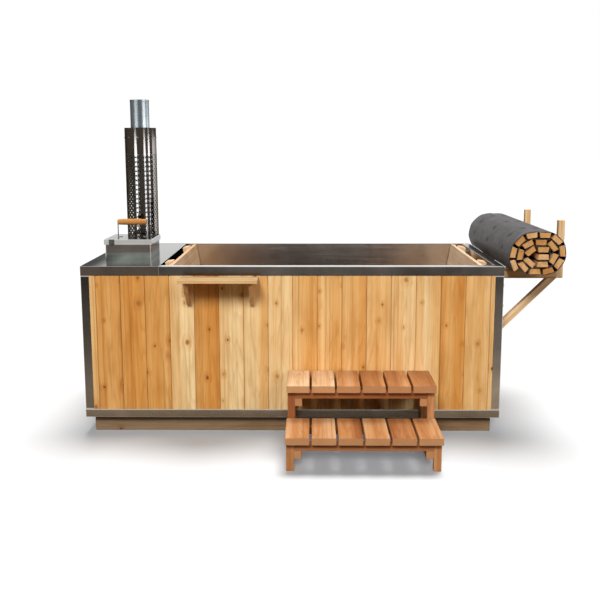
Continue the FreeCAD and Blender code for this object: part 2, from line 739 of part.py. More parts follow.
def make_grip():
    """A turned barrel grip, revolved about its own long axis."""
    body = doc.addObject("PartDesign::Body", "grip")
    plane = [p for p in body.Origin.OriginFeatures if p.Role == "XY_Plane"][0]
    sketch = body.newObject("Sketcher::SketchObject", "grip_sketch")
    sketch.AttachmentSupport = [(plane, "")]
    sketch.MapMode = "FlatFace"
    half = value("grip_length / 2")
    end = value("grip_end_radius")
    middle = value("grip_radius")
    a, b = FreeCAD.Vector(-half, 0, 0), FreeCAD.Vector(half, 0, 0)
    c, d = FreeCAD.Vector(half, end, 0), FreeCAD.Vector(-half, end, 0)
    sketch.addGeometry(Part.LineSegment(a, b))
    sketch.addGeometry(Part.LineSegment(b, c))
    sketch.addGeometry(Part.Arc(c, FreeCAD.Vector(0, middle, 0), d))
    sketch.addGeometry(Part.LineSegment(d, a))
    crown = sketch.addGeometry(Part.Point(FreeCAD.Vector(0, middle, 0)))
    rules = [("Coincident", 0, 2, 1, 1), ("Coincident", 1, 2, 2, 1), ("Coincident", 2, 2, 3, 1),
             ("Coincident", 3, 2, 0, 1), ("Vertical", 1), ("Vertical", 3),
             ("PointOnObject", 0, 1, -1), ("Symmetric", 0, 1, 0, 2, -1, 1),
             ("PointOnObject", crown, 1, 2), ("PointOnObject", crown, 1, -2)]
    for rule in rules:
        sketch.addConstraint(Sketcher.Constraint(*rule))
    for rule, text in ((("DistanceX", 0, 1, 0, 2), "grip_length"),
                       (("DistanceY", 1, 1, 1, 2), "grip_end_radius"),
                       (("DistanceY", -1, 1, crown, 1), "grip_radius")):
        k = sketch.addConstraint(Sketcher.Constraint(*rule, value(text)))
        sketch.setExpression(f"Constraints[{k}]", bound(text))
    turn = body.newObject("PartDesign::Revolution", "grip_turn")
    turn.Profile = sketch
    turn.ReferenceAxis = (sketch, ["H_Axis"])
    turn.Angle = 360
    place(body, "hatch_x", GRIP_Y, GRIP_Z)
    return body


def make_hinge():
    """A loose-leaf hinge behind the lid: one leaf on the box, one on the lid and a pin through both."""
    x = "(hatch_x - hinge_length / 2)"
    bore = cylinder("hinge_bore", f"{x} - {OVERCUT}", HINGE_Y, HINGE_Z, "hinge_pin_radius + hinge_fit",
                    f"hinge_length + {2 * OVERCUT}", ALONG_X)
    box_back = "(hatch_y + hatch_depth / 2)"
    arm_z = f"({HINGE_Z} - hinge_radius + hinge_gap / 2)"
    arm_thick = "(hinge_radius - hinge_pin_radius - hinge_gap)"
    pieces = [box("hinge_box_plate", x, box_back, f"{arm_z} - hinge_leaf", "hinge_length", "steel",
                  f"hinge_leaf + {arm_thick}")]
    for name, knuckle_x in (("left", x), ("right", f"{x} + hinge_length - hinge_knuckle")):
        pieces.append(box(f"hinge_arm_{name}", knuckle_x, box_back, arm_z, "hinge_knuckle",
                          f"{HINGE_Y} - {box_back}", arm_thick))
        pieces.append(cylinder(f"hinge_knuckle_{name}", knuckle_x, HINGE_Y, HINGE_Z, "hinge_radius",
                               "hinge_knuckle", ALONG_X))
    node(cut("hinge_box_leaf", fuse("hinge_box_pieces", pieces), [bore]), "hinge_leaf_box")

    lid_x = f"({x} + hinge_knuckle + hinge_gap)"
    length = "(hinge_length - 2 * hinge_knuckle - 2 * hinge_gap)"
    web_z = f"({HINGE_Z} + hinge_pin_radius)"
    pieces = [
        box("hinge_lid_plate", lid_x, LID_BACK, web_z, length, "steel",
            f"{LID_TOP} - {web_z} - steel"),
        box("hinge_lid_web", lid_x, LID_BACK, web_z, length, f"{HINGE_Y} - {LID_BACK}", "steel"),
        cylinder("hinge_lid_knuckle", lid_x, HINGE_Y, HINGE_Z, "hinge_radius", length, ALONG_X),
    ]
    node(cut("hinge_lid_leaf", fuse("hinge_lid_pieces", pieces), [bore]), "hinge_leaf_lid")
    node(cylinder("hinge_rod", x, HINGE_Y, HINGE_Z, "hinge_pin_radius", "hinge_length", ALONG_X), "hinge_pin")


# Flue pipe and heat shield

def make_flue():
    """The flue pipe on its collar, with a wider shield held off it by a ring of spacers."""
    pipe = ring_body("flue", "flue_radius", "flue_radius - flue_wall", "flue_top - firebox_top")
    place(pipe, "flue_x", "flue_y", "firebox_top")
    node(pipe, "flue_pipe")
    collar = ring_body("collar", "collar_radius", "flue_radius + flue_fit", "collar_height")
    place(collar, "flue_x", "flue_y", "firebox_top")
    node(collar, "flue_collar")

    count = int(value("shield_screws"))
    level = "(shield_top - shield_screw_drop)"
    inner = "(flue_radius + flue_fit)"
    spacers = []
    screws = []
    for i in range(count):
        angle = 360 * (i + 1 / 2) / count
        ray = f"{angle} deg"
        turn = FreeCAD.Rotation(FreeCAD.Vector(0, 0, 1), angle)
        spacers.append(box(f"spacer_{i}", f"flue_x + {inner} * cos({ray}) + spacer_width / 2 * sin({ray})",
                           f"flue_y + {inner} * sin({ray}) - spacer_width / 2 * cos({ray})",
                           f"{level} - spacer_height / 2",
                           f"shield_radius - shield_wall - flue_fit - {inner}", "spacer_width",
                           "spacer_height", turn))
        seat = "(shield_radius - shield_wall / 2)"
        screws.append(cylinder(f"shield_screw_{i}", f"flue_x + {seat} * cos({ray})",
                               f"flue_y + {seat} * sin({ray})", level, "shield_screw_radius",
                               "shield_screw_proud", turn.multiply(ALONG_X)))
    screw_set = group("shield_screw_set", screws)
    tube = ring_body("shield", "shield_radius", "shield_radius - shield_wall", "shield_top - tub_height")
    place(tube, "flue_x", "flue_y", "tub_height")
    node(cut("shield_cut", tube, [screw_set]), "heat_shield")
    node(group("spacer_set", spacers), "shield_spacers")
    node(screw_set, "shield_screws")


# Drinks shelf

def make_shelf():
    """A board on two tapered brackets, screwed down into them from above."""
    wall = f"({SIDE} - steel)"
    under = "(shelf_top - shelf_thick)"
    board_box = box("shelf_plank", "shelf_x - shelf_length / 2", f"-({wall} + shelf_depth)", under,
                    "shelf_length", "shelf_depth", "shelf_thick")
    screws = []
    brackets = []
    profile = [("0", "0"), ("-shelf_bracket_reach", "0"), ("-shelf_bracket_reach", "-shelf_bracket_nose"),
               ("-shelf_bracket_toe", "-shelf_bracket_drop"), ("0", "-shelf_bracket_drop")]
    for name, hand in (("left", -1), ("right", 1)):
        x = f"(shelf_x + {hand} * shelf_bracket_spread / 2)"
        bracket = plate_body(f"shelf_bracket_{name}", "YZ_Plane", profile, "shelf_bracket_thick")
        place(bracket, x, f"-{wall}", under)
        brackets.append(bracket)
        for k, share in enumerate((1 / 4, 3 / 4)):
            y = f"-({wall} + {share} * shelf_bracket_reach)"
            head = cylinder(f"shelf_head_{name}_{k}", x, y, "shelf_top - screw_head", "screw_head_radius",
                            "screw_head")
            shank = cylinder(f"shelf_shank_{name}_{k}", x, y, "shelf_top - screw_length", "screw_radius",
                             "screw_length")
            screws.append(fuse(f"shelf_screw_{name}_{k}", [head, shank]))
    screw_set = group("shelf_screw_set", screws)
    node(cut("shelf_drilled", board_box, [screw_set]), "shelf_board")
    node(cut("shelf_brackets_drilled", group("shelf_bracket_pair", brackets), [screw_set]), "shelf_brackets")
    node(screw_set, "shelf_screws")


# Cover rack and rolled cover

WALL_X = f"({END} - steel)"
RACK_POST_X = f"({END} + rack_reach)"
RACK_ARM_BASE = "(rack_arm_top - rack_timber)"


def make_rack_bolts():
    """Bolts through the rack's wall battens and the end boards."""
    bolts = []
    for side, y in (("front", "-rack_spread / 2"), ("rear", "rack_spread / 2")):
        for level in ("low", "high"):
            shank = cylinder(f"bolt_shank_{side}_{level}", f"{WALL_X} - board_thick", y, f"bolt_{level}",
                             "bolt_radius", "board_thick + rack_batten", ALONG_X)
            head = cylinder(f"bolt_head_{side}_{level}", f"{WALL_X} + rack_batten", y, f"bolt_{level}",
                            "bolt_head_radius", "bolt_head", ALONG_X)
            bolts.append(fuse(f"bolt_{side}_{level}", [shank, head]))
    return group("bolt_set", bolts)


def make_rack(bolts):
    """Two bracket frames on the end wall: batten, arm, end post and a strut at 45 degrees."""
    arms, posts, struts, battens = [], [], [], []
    for side, y in (("front", "-rack_spread / 2"), ("rear", "rack_spread / 2")):
        low_y = f"{y} - rack_timber / 2"
        arms.append(box(f"arm_{side}", END, low_y, RACK_ARM_BASE, "rack_reach", "rack_timber", "rack_timber"))
        posts.append(box(f"rack_post_{side}", RACK_POST_X, f"{y} - rack_post / 2", RACK_ARM_BASE,
                         "rack_post", "rack_post", f"rack_post_top - {RACK_ARM_BASE}"))
        battens.append(box(f"wall_batten_{side}", WALL_X, low_y, "rack_batten_base",
                           "rack_batten", "rack_timber", f"{RACK_ARM_BASE} - rack_batten_base"))
        span = "(rack_reach + steel - rack_batten)"
        level = "(rack_strut * sqrt(2))"
        profile = [("0", f"-{span}"), (span, "0"), (f"{span} - {level}", "0"), ("0", f"{level} - {span}")]
        strut = plate_body(f"strut_{side}", "XZ_Plane", profile, "rack_timber")
        place(strut, f"{WALL_X} + rack_batten", y, RACK_ARM_BASE)
        struts.append(strut)
    node(group("arm_pair", arms), "rack_arms")
    node(group("post_pair", posts), "rack_posts")
    node(group("strut_pair", struts), "rack_struts")
    node(cut("battens_drilled", group("batten_pair", battens), [bolts]), "rack_battens")
    node(bolts, "rack_bolts")


def roll_path(distance):
    """Point and heading at a distance along the roll: straight runs joined by growing half turns."""
    run = value("roll_run")
    radius = value("roll_core")
    growth = value("slat_thick + cloth_thick + roll_slack")
    x, z, heading, straight = 0.0, -radius, 0.0, run / 2
    while True:
        way = math.cos(heading)
        if distance <= straight:
            return x + way * distance, z, heading
        x += way * straight
        distance -= straight
        half_turn = math.pi * radius
        if distance <= half_turn:
            turned = distance / radius
            return (x + way * radius * math.sin(turned), z + way * radius * (1 - math.cos(turned)),
                    heading + turned)
        distance -= half_turn
        z += 2 * way * radius
        heading += math.pi
        radius += growth / 2
        straight = run


def roll_sections():
    """Corners of each slat in the roll's own plane: outer face first, then the narrower inner face."""
    outer, inner, half = value("slat_outer") / 2, value("slat_inner") / 2, value("slat_thick") / 2
    sections = []
    for i in range(int(value("cover_slats"))):
        x, z, heading = roll_path(value("slat_start") + i * value("slat_pitch"))
        along = FreeCAD.Vector(math.cos(heading), 0, math.sin(heading))
        out = FreeCAD.Vector(math.sin(heading), 0, -math.cos(heading))
        middle = FreeCAD.Vector(x, 0, z)
        corners = ((-outer, half), (outer, half), (inner, -half), (-inner, -half))
        sections.append([middle + along * a + out * b for a, b in corners])
    return sections


def cloth_band(sections):
    """The cloth's section: along the slats' outer faces and back at its own thickness."""
    thick = value("cloth_thick")
    line = [corner for section in sections for corner in section[:2]]
    steps = [(b - a).normalize() for a, b in zip(line, line[1:])]
    outs = [FreeCAD.Vector(step.z, 0, -step.x) for step in steps]
    shifted = []
    for i, point in enumerate(line):
        before = outs[max(i - 1, 0)]
        after = outs[min(i, len(outs) - 1)]
        middle = (before + after).normalize()
        shifted.append(point + middle * (thick / middle.dot(after)))
    return line + shifted[::-1]


def prism(corners, length):
    """A solid from a closed outline, drawn out along +Y."""
    return Part.Face(Part.makePolygon(corners + corners[:1])).extrude(FreeCAD.Vector(0, length, 0))


def make_cover():
    """The rolled cover: wooden slats on a cloth, wound up and lying on the arms beside the posts."""
    length = value("cover_width")
    sections = roll_sections()
    band = cloth_band(sections)
    slats = Part.makeCompound([prism(section, length) for section in sections])
    cloth = prism(band, length)
    seat_x = value(f"{RACK_POST_X} - roll_post_gap") - max(point.x for point in band)
    seat_z = value("rack_arm_top + roll_rest_gap") - min(point.z for point in band)
    seat = FreeCAD.Placement(FreeCAD.Vector(seat_x, -length / 2, seat_z), UPRIGHT)
    for name, shape, label in (("roll_wood", slats, "cover_slats"), ("roll_cloth", cloth, "cover_cloth")):
        feature = doc.addObject("Part::Feature", name)
        feature.Shape = shape
        feature.Placement = seat
        node(feature, label)


# Drain valve

VALVE_X = f"({END} + drain_tail)"
BALL_X = f"({END} + drain_tail + valve_length / 2)"
NECK_TOP = "(drain_z + neck_height)"


def make_drain_hole():
    """The clearance hole for the drain pipe through the end boards."""
    return cylinder("board_drain_hole", f"{WALL_X} - board_thick - {OVERCUT}", "drain_y", "drain_z",
                    "drain_radius + drain_fit", f"board_thick + {2 * OVERCUT}", ALONG_X)


def make_drain():
    """A flanged pipe through the wall and a ball valve whose lever turns a quarter turn."""
    inside = f"({BASIN_END} - basin_wall - drain_flange_thick)"
    flange = cylinder("drain_flange_disc", inside, "drain_y", "drain_z", "drain_flange",
                      "drain_flange_thick", ALONG_X)
    pipe = cylinder("drain_pipe", inside, "drain_y", "drain_z", "drain_radius",
                    f"{VALVE_X} - {inside}", ALONG_X)
    bore = cylinder("drain_pipe_bore", f"{inside} - {OVERCUT}", "drain_y", "drain_z", "drain_bore",
                    f"{VALVE_X} - {inside} + {2 * OVERCUT}", ALONG_X)
    node(cut("drain_fitting_cut", fuse("drain_fitting_solid", [flange, pipe]), [bore]), "drain_fitting")

    barrel = cylinder("valve_barrel", VALVE_X, "drain_y", "drain_z", "valve_radius", "valve_length", ALONG_X)
    neck = cylinder("valve_neck", BALL_X, "drain_y", "drain_z", "neck_radius", "neck_height")
    way = cylinder("valve_way", f"{VALVE_X} - {OVERCUT}", "drain_y", "drain_z", "drain_bore",
                   f"valve_length + {2 * OVERCUT}", ALONG_X)
    chamber = cylinder("valve_chamber", BALL_X, "drain_y", "drain_z", "ball_radius + ball_fit",
                       f"valve_length / 2 + {OVERCUT}", ALONG_X)
    ball_room = doc.addObject("Part::Sphere", "valve_ball_room")
    bind(ball_room, "Radius", "ball_radius + ball_fit")
    place(ball_room, BALL_X, "drain_y", "drain_z")
    stem_hole = cylinder("valve_stem_hole", BALL_X, "drain_y", "drain_z", "stem_radius + stem_fit",
                         f"neck_height + {OVERCUT}")
    node(cut("valve_cut", fuse("valve_solid", [barrel, neck]), [way, chamber, ball_room, stem_hole]),
         "drain_valve_body")

    plug = cylinder("cap_plug", BALL_X, "drain_y", "drain_z", "ball_radius + ball_fit / 2",
                    "valve_length / 2", ALONG_X)
    spigot = cylinder("cap_spigot", f"{BALL_X} + ball_radius", "drain_y", "drain_z", "spigot_radius",
                      "valve_length / 2 - ball_radius + spigot_length", ALONG_X)
    cap_room = doc.addObject("Part::Sphere", "cap_ball_room")
    bind(cap_room, "Radius", "ball_radius + ball_fit")
    place(cap_room, BALL_X, "drain_y", "drain_z")
    stem_room = cylinder("cap_stem_room", BALL_X, "drain_y", "drain_z", "ball_radius", "neck_height")
    cap_bore = cylinder("cap_bore", f"{BALL_X} - {OVERCUT}", "drain_y", "drain_z", "drain_bore",
                        f"valve_length / 2 + spigot_length + {2 * OVERCUT}", ALONG_X)
    node(cut("cap_cut", fuse("cap_solid", [plug, spigot]), [cap_room, stem_room, cap_bore]), "drain_outlet")

    ball = doc.addObject("Part::Sphere", "ball_sphere")
    bind(ball, "Radius", "ball_radius")
    place(ball, BALL_X, "drain_y", "drain_z")
    stem = cylinder("ball_stem", BALL_X, "drain_y", "drain_z", "stem_radius", "neck_height + lever_gap")
    across = FreeCAD.Rotation(FreeCAD.Vector(1, 0, 0), 90)
    ball_bore = cylinder("ball_bore", BALL_X, f"drain_y + ball_radius + {OVERCUT}", "drain_z", "drain_bore",
                         f"2 * (ball_radius + {OVERCUT})", across)
    node(cut("ball_cut", fuse("ball_solid", [ball, stem]), [ball_bore]), "drain_ball")

    blade = box("lever_blade", f"{BALL_X} - lever_width / 2", "drain_y - lever_length",
                f"{NECK_TOP} + lever_gap", "lever_width", "lever_length", "lever_thick")
    boss = cylinder("lever_boss", BALL_X, "drain_y", f"{NECK_TOP} + lever_gap", "neck_radius", "lever_thick")
    node(fuse("lever", [blade, boss]), "drain_lever")


# Free-standing steps

STEP_WIDTH = "(step_slats * step_slat_width + (step_slats - 1) * step_slat_gap)"
STEP_LEFT = f"(step_x - {STEP_WIDTH} / 2)"
STEP_BACK = f"(-{SIDE} - step_gap)"
UPPER_FRONT = f"({STEP_BACK} - step_depth)"
LOWER_BACK = f"({UPPER_FRONT} + step_nosing - step_clear)"
LOWER_FRONT = f"({LOWER_BACK} - step_depth)"


def tread(name, top, front):
    """A row of slats that run front to back, with their top edges eased."""
    slats = []
    for i in range(int(value("step_slats"))):
        plain = box(f"{name}_plain_{i}", f"{STEP_LEFT} + {i} * (step_slat_width + step_slat_gap)", front,
                    f"{top} - step_slat_thick", "step_slat_width", "step_depth", "step_slat_thick")

        def upper(edge):
            return edge.CenterOfMass.z > value(top) - 0.01

        slats.append(ease(f"{name}_slat_{i}", plain, upper, "Part::Chamfer", "step_bevel"))
    return group(f"{name}_slats", slats)


def make_steps():
    """Two treads on cross rails, bearers and three pairs of legs."""
    node(tread("lower", "step_rise", LOWER_FRONT), "step_lower_slats")
    node(tread("upper", "2 * step_rise", UPPER_FRONT), "step_upper_slats")

    front_y = f"({LOWER_FRONT} + step_nosing)"
    middle_y = f"({UPPER_FRONT} + step_nosing)"
    rear_y = f"({STEP_BACK} - step_timber)"
    left_x = f"({STEP_LEFT} + step_leg_inset)"
    right_x = f"({STEP_LEFT} + {STEP_WIDTH} - step_leg_inset - step_timber)"
    lower_base = "(step_rise - step_slat_thick)"
    upper_base = "(2 * step_rise - step_slat_thick)"

    legs, bearers, rails = [], [], []
    for hand, x, bearer_x in (("left", left_x, f"{left_x} + step_timber"),
                              ("right", right_x, f"{right_x} - step_timber")):
        for place_name, y, top in (("front", front_y, lower_base), ("middle", middle_y, upper_base),
                                   ("rear", rear_y, upper_base)):
            legs.append(box(f"step_leg_{place_name}_{hand}", x, y, 0, "step_timber", "step_timber", top))
        for level, start, end, base in (("lower", front_y, f"({middle_y} + step_timber)", lower_base),
                                        ("upper", middle_y, STEP_BACK, upper_base)):
            bearers.append(box(f"step_bearer_{level}_{hand}", bearer_x, start,
                               f"{base} - step_timber - step_bearer",
                               "step_timber", f"{end} - {start}", "step_bearer"))
    for name, y, base in (("lower_front", front_y, lower_base),
                          ("lower_rear", f"{LOWER_BACK} - step_timber", lower_base),
                          ("upper_front", middle_y, upper_base),
                          ("upper_rear", rear_y, upper_base)):
        rails.append(box(f"step_rail_{name}", f"{left_x} + step_timber", y, f"{base} - step_timber",
                         f"{right_x} - {left_x} - step_timber", "step_timber", "step_timber"))
    node(group("leg_set", legs), "step_legs")
    node(group("bearer_set", bearers), "step_bearers")
    node(group("rail_set", rails), "step_rails")


# Build, check and write

def check():
    """Stop if any object failed or any sub-part's shape is missing or broken."""
    for obj in doc.Objects:
        if "Invalid" in obj.State or "Error" in obj.State:
            raise RuntimeError(f"{obj.Name} failed: {obj.State}")
    for obj in NODES:
        if obj.Shape.isNull() or not obj.Shape.isValid() or not obj.Shape.Solids:
            raise RuntimeError(f"{obj.Label} has no valid solid")


def write():
    """Write each sub-part to its own file."""
    os.makedirs("parts", exist_ok=True)
    for obj in NODES:
        obj.Shape.exportStep(f"parts/{obj.Label}.step")
        print(f"{obj.Label}: {len(obj.Shape.Solids)} solids, {obj.Shape.Volume / 1e6:.3f} litres")


make_plinth()
make_rails()
make_posts()
make_rim()
rack_bolts = make_rack_bolts()
make_cladding([rack_bolts, make_drain_hole()])
make_girts()
make_basin()
make_panels()
make_deck()
make_stove()
make_hatch()
make_lid()
make_hinge()
make_flue()
make_shelf()
make_rack(rack_bolts)
make_cover()
make_drain()
make_steps()
doc.recompute()
check()
write()
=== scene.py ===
"""Looks of the wood-burning hot tub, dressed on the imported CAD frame, in metres in the same frame."""

import json
import math
import random

import bmesh
import bpy
from mathutils import Matrix, Vector

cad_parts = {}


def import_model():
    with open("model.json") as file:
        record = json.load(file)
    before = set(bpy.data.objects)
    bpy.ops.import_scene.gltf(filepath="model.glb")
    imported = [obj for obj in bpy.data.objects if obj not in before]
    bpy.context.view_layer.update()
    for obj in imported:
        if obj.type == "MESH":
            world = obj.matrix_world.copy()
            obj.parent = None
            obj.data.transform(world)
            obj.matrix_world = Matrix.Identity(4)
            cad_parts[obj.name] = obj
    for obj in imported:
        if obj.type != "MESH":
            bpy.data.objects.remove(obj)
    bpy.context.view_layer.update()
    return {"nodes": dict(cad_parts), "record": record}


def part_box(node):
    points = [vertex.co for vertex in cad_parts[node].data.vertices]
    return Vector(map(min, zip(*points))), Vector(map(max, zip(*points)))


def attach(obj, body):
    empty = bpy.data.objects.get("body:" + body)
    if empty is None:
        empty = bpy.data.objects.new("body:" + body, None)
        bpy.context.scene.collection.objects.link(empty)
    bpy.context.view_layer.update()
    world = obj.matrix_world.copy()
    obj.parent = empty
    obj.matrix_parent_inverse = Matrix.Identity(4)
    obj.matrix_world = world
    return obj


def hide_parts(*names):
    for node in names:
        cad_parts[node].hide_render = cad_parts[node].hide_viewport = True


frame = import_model()
BODY = {n: body for body, names in frame["record"]["behaviour"]["bodies"].items() for n in names}


# Shader helpers

def add(tree, kind, inputs=None, **settings):
    """A shader node with its settings, and its inputs set or linked."""
    made = tree.nodes.new("ShaderNode" + kind)
    for key, setting in settings.items():
        setattr(made, key, setting)
    for key, entry in (inputs or {}).items():
        if isinstance(entry, bpy.types.NodeSocket):
            tree.links.new(entry, made.inputs[key])
        else:
            made.inputs[key].default_value = entry
    return made


def blank(name):
    """A new material, its node tree and its main shader."""
    material = bpy.data.materials.new(name)
    material.use_nodes = True
    tree = material.node_tree
    return material, tree, tree.nodes["Principled BSDF"]


def ramp(tree, factor, stops):
    """A colour ramp's output for a factor; each stop is a place and a colour or a grey."""
    made = add(tree, "ValToRGB", {"Fac": factor})
    elements = made.color_ramp.elements
    while len(elements) < len(stops):
        elements.new(0.5)
    while len(elements) > len(stops):
        elements.remove(elements[-1])
    for element, (position, colour) in zip(elements, stops):
        element.position = position
        grey = isinstance(colour, (int, float))
        element.color = (colour, colour, colour, 1) if grey else (*colour, 1)
    return made.outputs["Color"]


def mix(tree, kind, factor, a, b):
    """Two colours mixed by a blend kind."""
    made = add(tree, "Mix", data_type="RGBA", blend_type=kind)
    for index, entry in ((0, factor), (6, a), (7, b)):
        if isinstance(entry, bpy.types.NodeSocket):
            tree.links.new(entry, made.inputs[index])
        elif index == 0:
            made.inputs[index].default_value = entry
        else:
            made.inputs[index].default_value = (*entry, 1)
    return made.outputs[2]


def stretch(tree, vector, scale):
    """A coordinate scaled by axis."""
    return add(tree, "VectorMath", {0: vector, 1: scale}, operation="MULTIPLY").outputs[0]


def noise(tree, vector, scale, detail=2.0, rough=0.5):
    """Noise from 0 to 1."""
    made = add(tree, "TexNoise", {"Vector": vector, "Scale": scale, "Detail": detail, "Roughness": rough})
    return made.outputs["Fac"]


def place(tree):
    """The point on the piece in the shared frame, so patterns keep their real size."""
    return add(tree, "TexCoord").outputs["Object"]


def face_normal(tree):
    """The three parts of the face's own direction."""
    return add(tree, "SeparateXYZ", {"Vector": add(tree, "NewGeometry").outputs["True Normal"]}).outputs


def math_node(tree, kind, a, b=0.0, c=0.0):
    """One step of arithmetic on values."""
    return add(tree, "Math", {0: a, 1: b, 2: c}, operation=kind).outputs[0]


def spread_over(tree, factor, low, high):
    """A factor from 0 to 1 spread over a range of values."""
    return add(tree, "MapRange", {"Value": factor, "To Min": low, "To Max": high}).outputs[0]


def by_level(tree, height, levels):
    """A colour that changes with height through its levels, each a height and a colour."""
    bottom, end = levels[0][0], levels[-1][0]
    share = add(tree, "MapRange", {"Value": height, "From Min": bottom, "From Max": end}).outputs[0]
    return ramp(tree, share, [((z - bottom) / (end - bottom), colour) for z, colour in levels])


def relieve(tree, shader, height, strength, depth):
    """Bump on a shader from a height."""
    bump = add(tree, "Bump", {"Height": height, "Strength": strength, "Distance": depth})
    tree.links.new(bump.outputs[0], shader.inputs["Normal"])


# Materials

GRAIN_TURNS = {
    "x": (0, -math.pi / 2, 0),
    "y": (math.pi / 2, 0, 0),
    "z": (0, 0, 0),
    "strut": (0, -math.pi / 4, 0),
}
WHITE = (1, 1, 1)
STICK_SHIFT = (3.7, 5.3, 41.0)
KNOTS_ACROSS, KNOTS_ALONG = 10.0, 7.5
KNOT_SCALES = (0.85, 2.5)
KNOT_CORE = [(0.06, 1.0), (0.105, 0.0)]
KNOT_HALO = [(0.06, 0.8), (0.36, 0.0)]
KNOT_RIND = [(0.0, 0.5), (0.02, 0.9), (0.055, 1.15), (0.09, 0.5)]
KNOT_BARK = [(0.15, (0.15, 0.055, 0.018)), (0.4, (0.34, 0.15, 0.05)), (0.8, (0.52, 0.27, 0.10))]
HALO_WASH = (0.84, 0.66, 0.47)
SAWN_WASH = (0.88, 0.75, 0.62)
BLOTCHES = [(0.32, (0.86, 0.79, 0.70)), (0.5, WHITE), (0.68, (1.08, 1.12, 1.17))]
STREAKS = [(0.28, (0.72, 0.60, 0.47)), (0.48, WHITE), (0.7, (1.08, 1.1, 1.14))]
RINGS = [(0.0, (1.04, 1.04, 1.03)), (0.6, WHITE), (0.9, (0.72, 0.58, 0.44)), (1.0, WHITE)]
FIBRES = [(0.3, (0.8, 0.74, 0.66)), (0.6, WHITE)]


def wood(name, tones, along, across=(0.7, 0.7), knots=0.1, figure=0.2, ends=None):
    """Planed timber: each stick's attributes set its tone and its own stretch of grain.

    Knots come by chance, and the grain swerves round them. Sawn ends are darker, and drawn towards one
    colour of their own if it is given.
    """
    material, tree, shader = blank(name)
    seed = add(tree, "Attribute", attribute_name="seed").outputs["Fac"]
    tone = add(tree, "Attribute", attribute_name="tone").outputs["Fac"]
    turned = add(tree, "Mapping", {"Vector": place(tree), "Rotation": GRAIN_TURNS[along]}).outputs[0]
    shift = add(tree, "CombineXYZ", {"X": seed, "Y": seed, "Z": seed}).outputs[0]
    moved = add(tree, "VectorMath", {0: shift, 1: STICK_SHIFT, 2: turned}, operation="MULTIPLY_ADD")
    point = moved.outputs[0]

    axes = add(tree, "SeparateXYZ", {"Vector": point})
    wobble = math_node(tree, "MULTIPLY_ADD", noise(tree, point, 70.0, 3.0), 0.14, -0.07)
    sideways = math_node(tree, "MULTIPLY_ADD", axes.outputs[0], across[0],
                         math_node(tree, "MULTIPLY", axes.outputs[1], across[1]))
    knot_x = math_node(tree, "MULTIPLY_ADD", sideways, KNOTS_ACROSS, wobble)
    knot_y = math_node(tree, "MULTIPLY", axes.outputs[2], KNOTS_ALONG)
    flat = add(tree, "CombineXYZ", {"X": knot_x, "Y": knot_y}).outputs[0]
    cells = add(tree, "TexVoronoi", {"Vector": flat, "Scale": 1.0}, voronoi_dimensions="2D")
    chance = add(tree, "SeparateColor", {"Color": cells.outputs["Color"]})
    chosen = math_node(tree, "GREATER_THAN", chance.outputs[0], 1 - knots)
    size = spread_over(tree, chance.outputs[2], *KNOT_SCALES)
    away = math_node(tree, "MULTIPLY", cells.outputs["Distance"], size)
    core = math_node(tree, "MULTIPLY", chosen, ramp(tree, away, KNOT_CORE))
    halo = math_node(tree, "MULTIPLY", chosen, ramp(tree, away, KNOT_HALO))

    offset = add(tree, "VectorMath", {0: flat, 1: cells.outputs["Position"]}, operation="SUBTRACT")
    aside = add(tree, "SeparateXYZ", {"Vector": offset.outputs[0]}).outputs[0]
    swerve = math_node(tree, "MULTIPLY", math_node(tree, "MULTIPLY", aside, -0.1), halo)
    bend = add(tree, "CombineXYZ", {"X": math_node(tree, "MULTIPLY", swerve, across[0]),
                                    "Y": math_node(tree, "MULTIPLY", swerve, across[1])}).outputs[0]
    point = add(tree, "VectorMath", {0: point, 1: bend}, operation="ADD").outputs[0]

    # Each pattern's scale is per metre, twice across the grain and then along it
    heart = noise(tree, stretch(tree, point, (15, 15, 0.3)), 1.0, 2.0)
    streaks = noise(tree, stretch(tree, point, (75, 75, 0.6)), 1.0, 5.0, 0.6)
    fibre = noise(tree, stretch(tree, point, (420, 420, 8)), 1.0, 2.0)
    years = noise(tree, stretch(tree, point, (11, 11, 0.7)), 1.0, 1.5)
    blotch = noise(tree, stretch(tree, point, (17, 17, 5)), 1.0, 3.0)
    rings = math_node(tree, "FRACT", math_node(tree, "MULTIPLY", years, 17.0))

    drift = math_node(tree, "MULTIPLY_ADD", math_node(tree, "SUBTRACT", heart, 0.5), 1.5, tone)
    colour = ramp(tree, drift, tones)
    for share, pattern, stops in ((0.8, blotch, BLOTCHES), (0.85, streaks, STREAKS), (figure, rings, RINGS),
                                  (0.3, fibre, FIBRES)):
        colour = mix(tree, "MULTIPLY", share, colour, ramp(tree, pattern, stops))
    colour = mix(tree, "MULTIPLY", halo, colour, HALO_WASH)
    bark = ramp(tree, chance.outputs[1], KNOT_BARK)
    rind = ramp(tree, away, KNOT_RIND)
    colour = mix(tree, "MIX", core, colour, mix(tree, "MULTIPLY", 1.0, bark, rind))
    if along in "xyz":
        facing = math_node(tree, "ABSOLUTE", face_normal(tree)["xyz".index(along)])
        sawn = ramp(tree, facing, [(0.85, 0.0), (0.95, 1.0)])
        sawn_tone = mix(tree, "MULTIPLY", 1.0, colour, SAWN_WASH)
        if ends:
            sawn_tone = mix(tree, "MIX", 0.75, sawn_tone, ends)
        colour = mix(tree, "MIX", sawn, colour, sawn_tone)
    tree.links.new(colour, shader.inputs["Base Color"])
    tree.links.new(spread_over(tree, fibre, 0.43, 0.62), shader.inputs["Roughness"])
    shader.inputs["Specular IOR Level"].default_value = 0.25
    relieve(tree, shader, math_node(tree, "MULTIPLY_ADD", streaks, 1.2, fibre), 0.2, 0.001)
    return material


# Colour of the painted highlight lines
EDGE_HIGHLIGHT_COLOUR = (0.6, 0.585, 0.56)


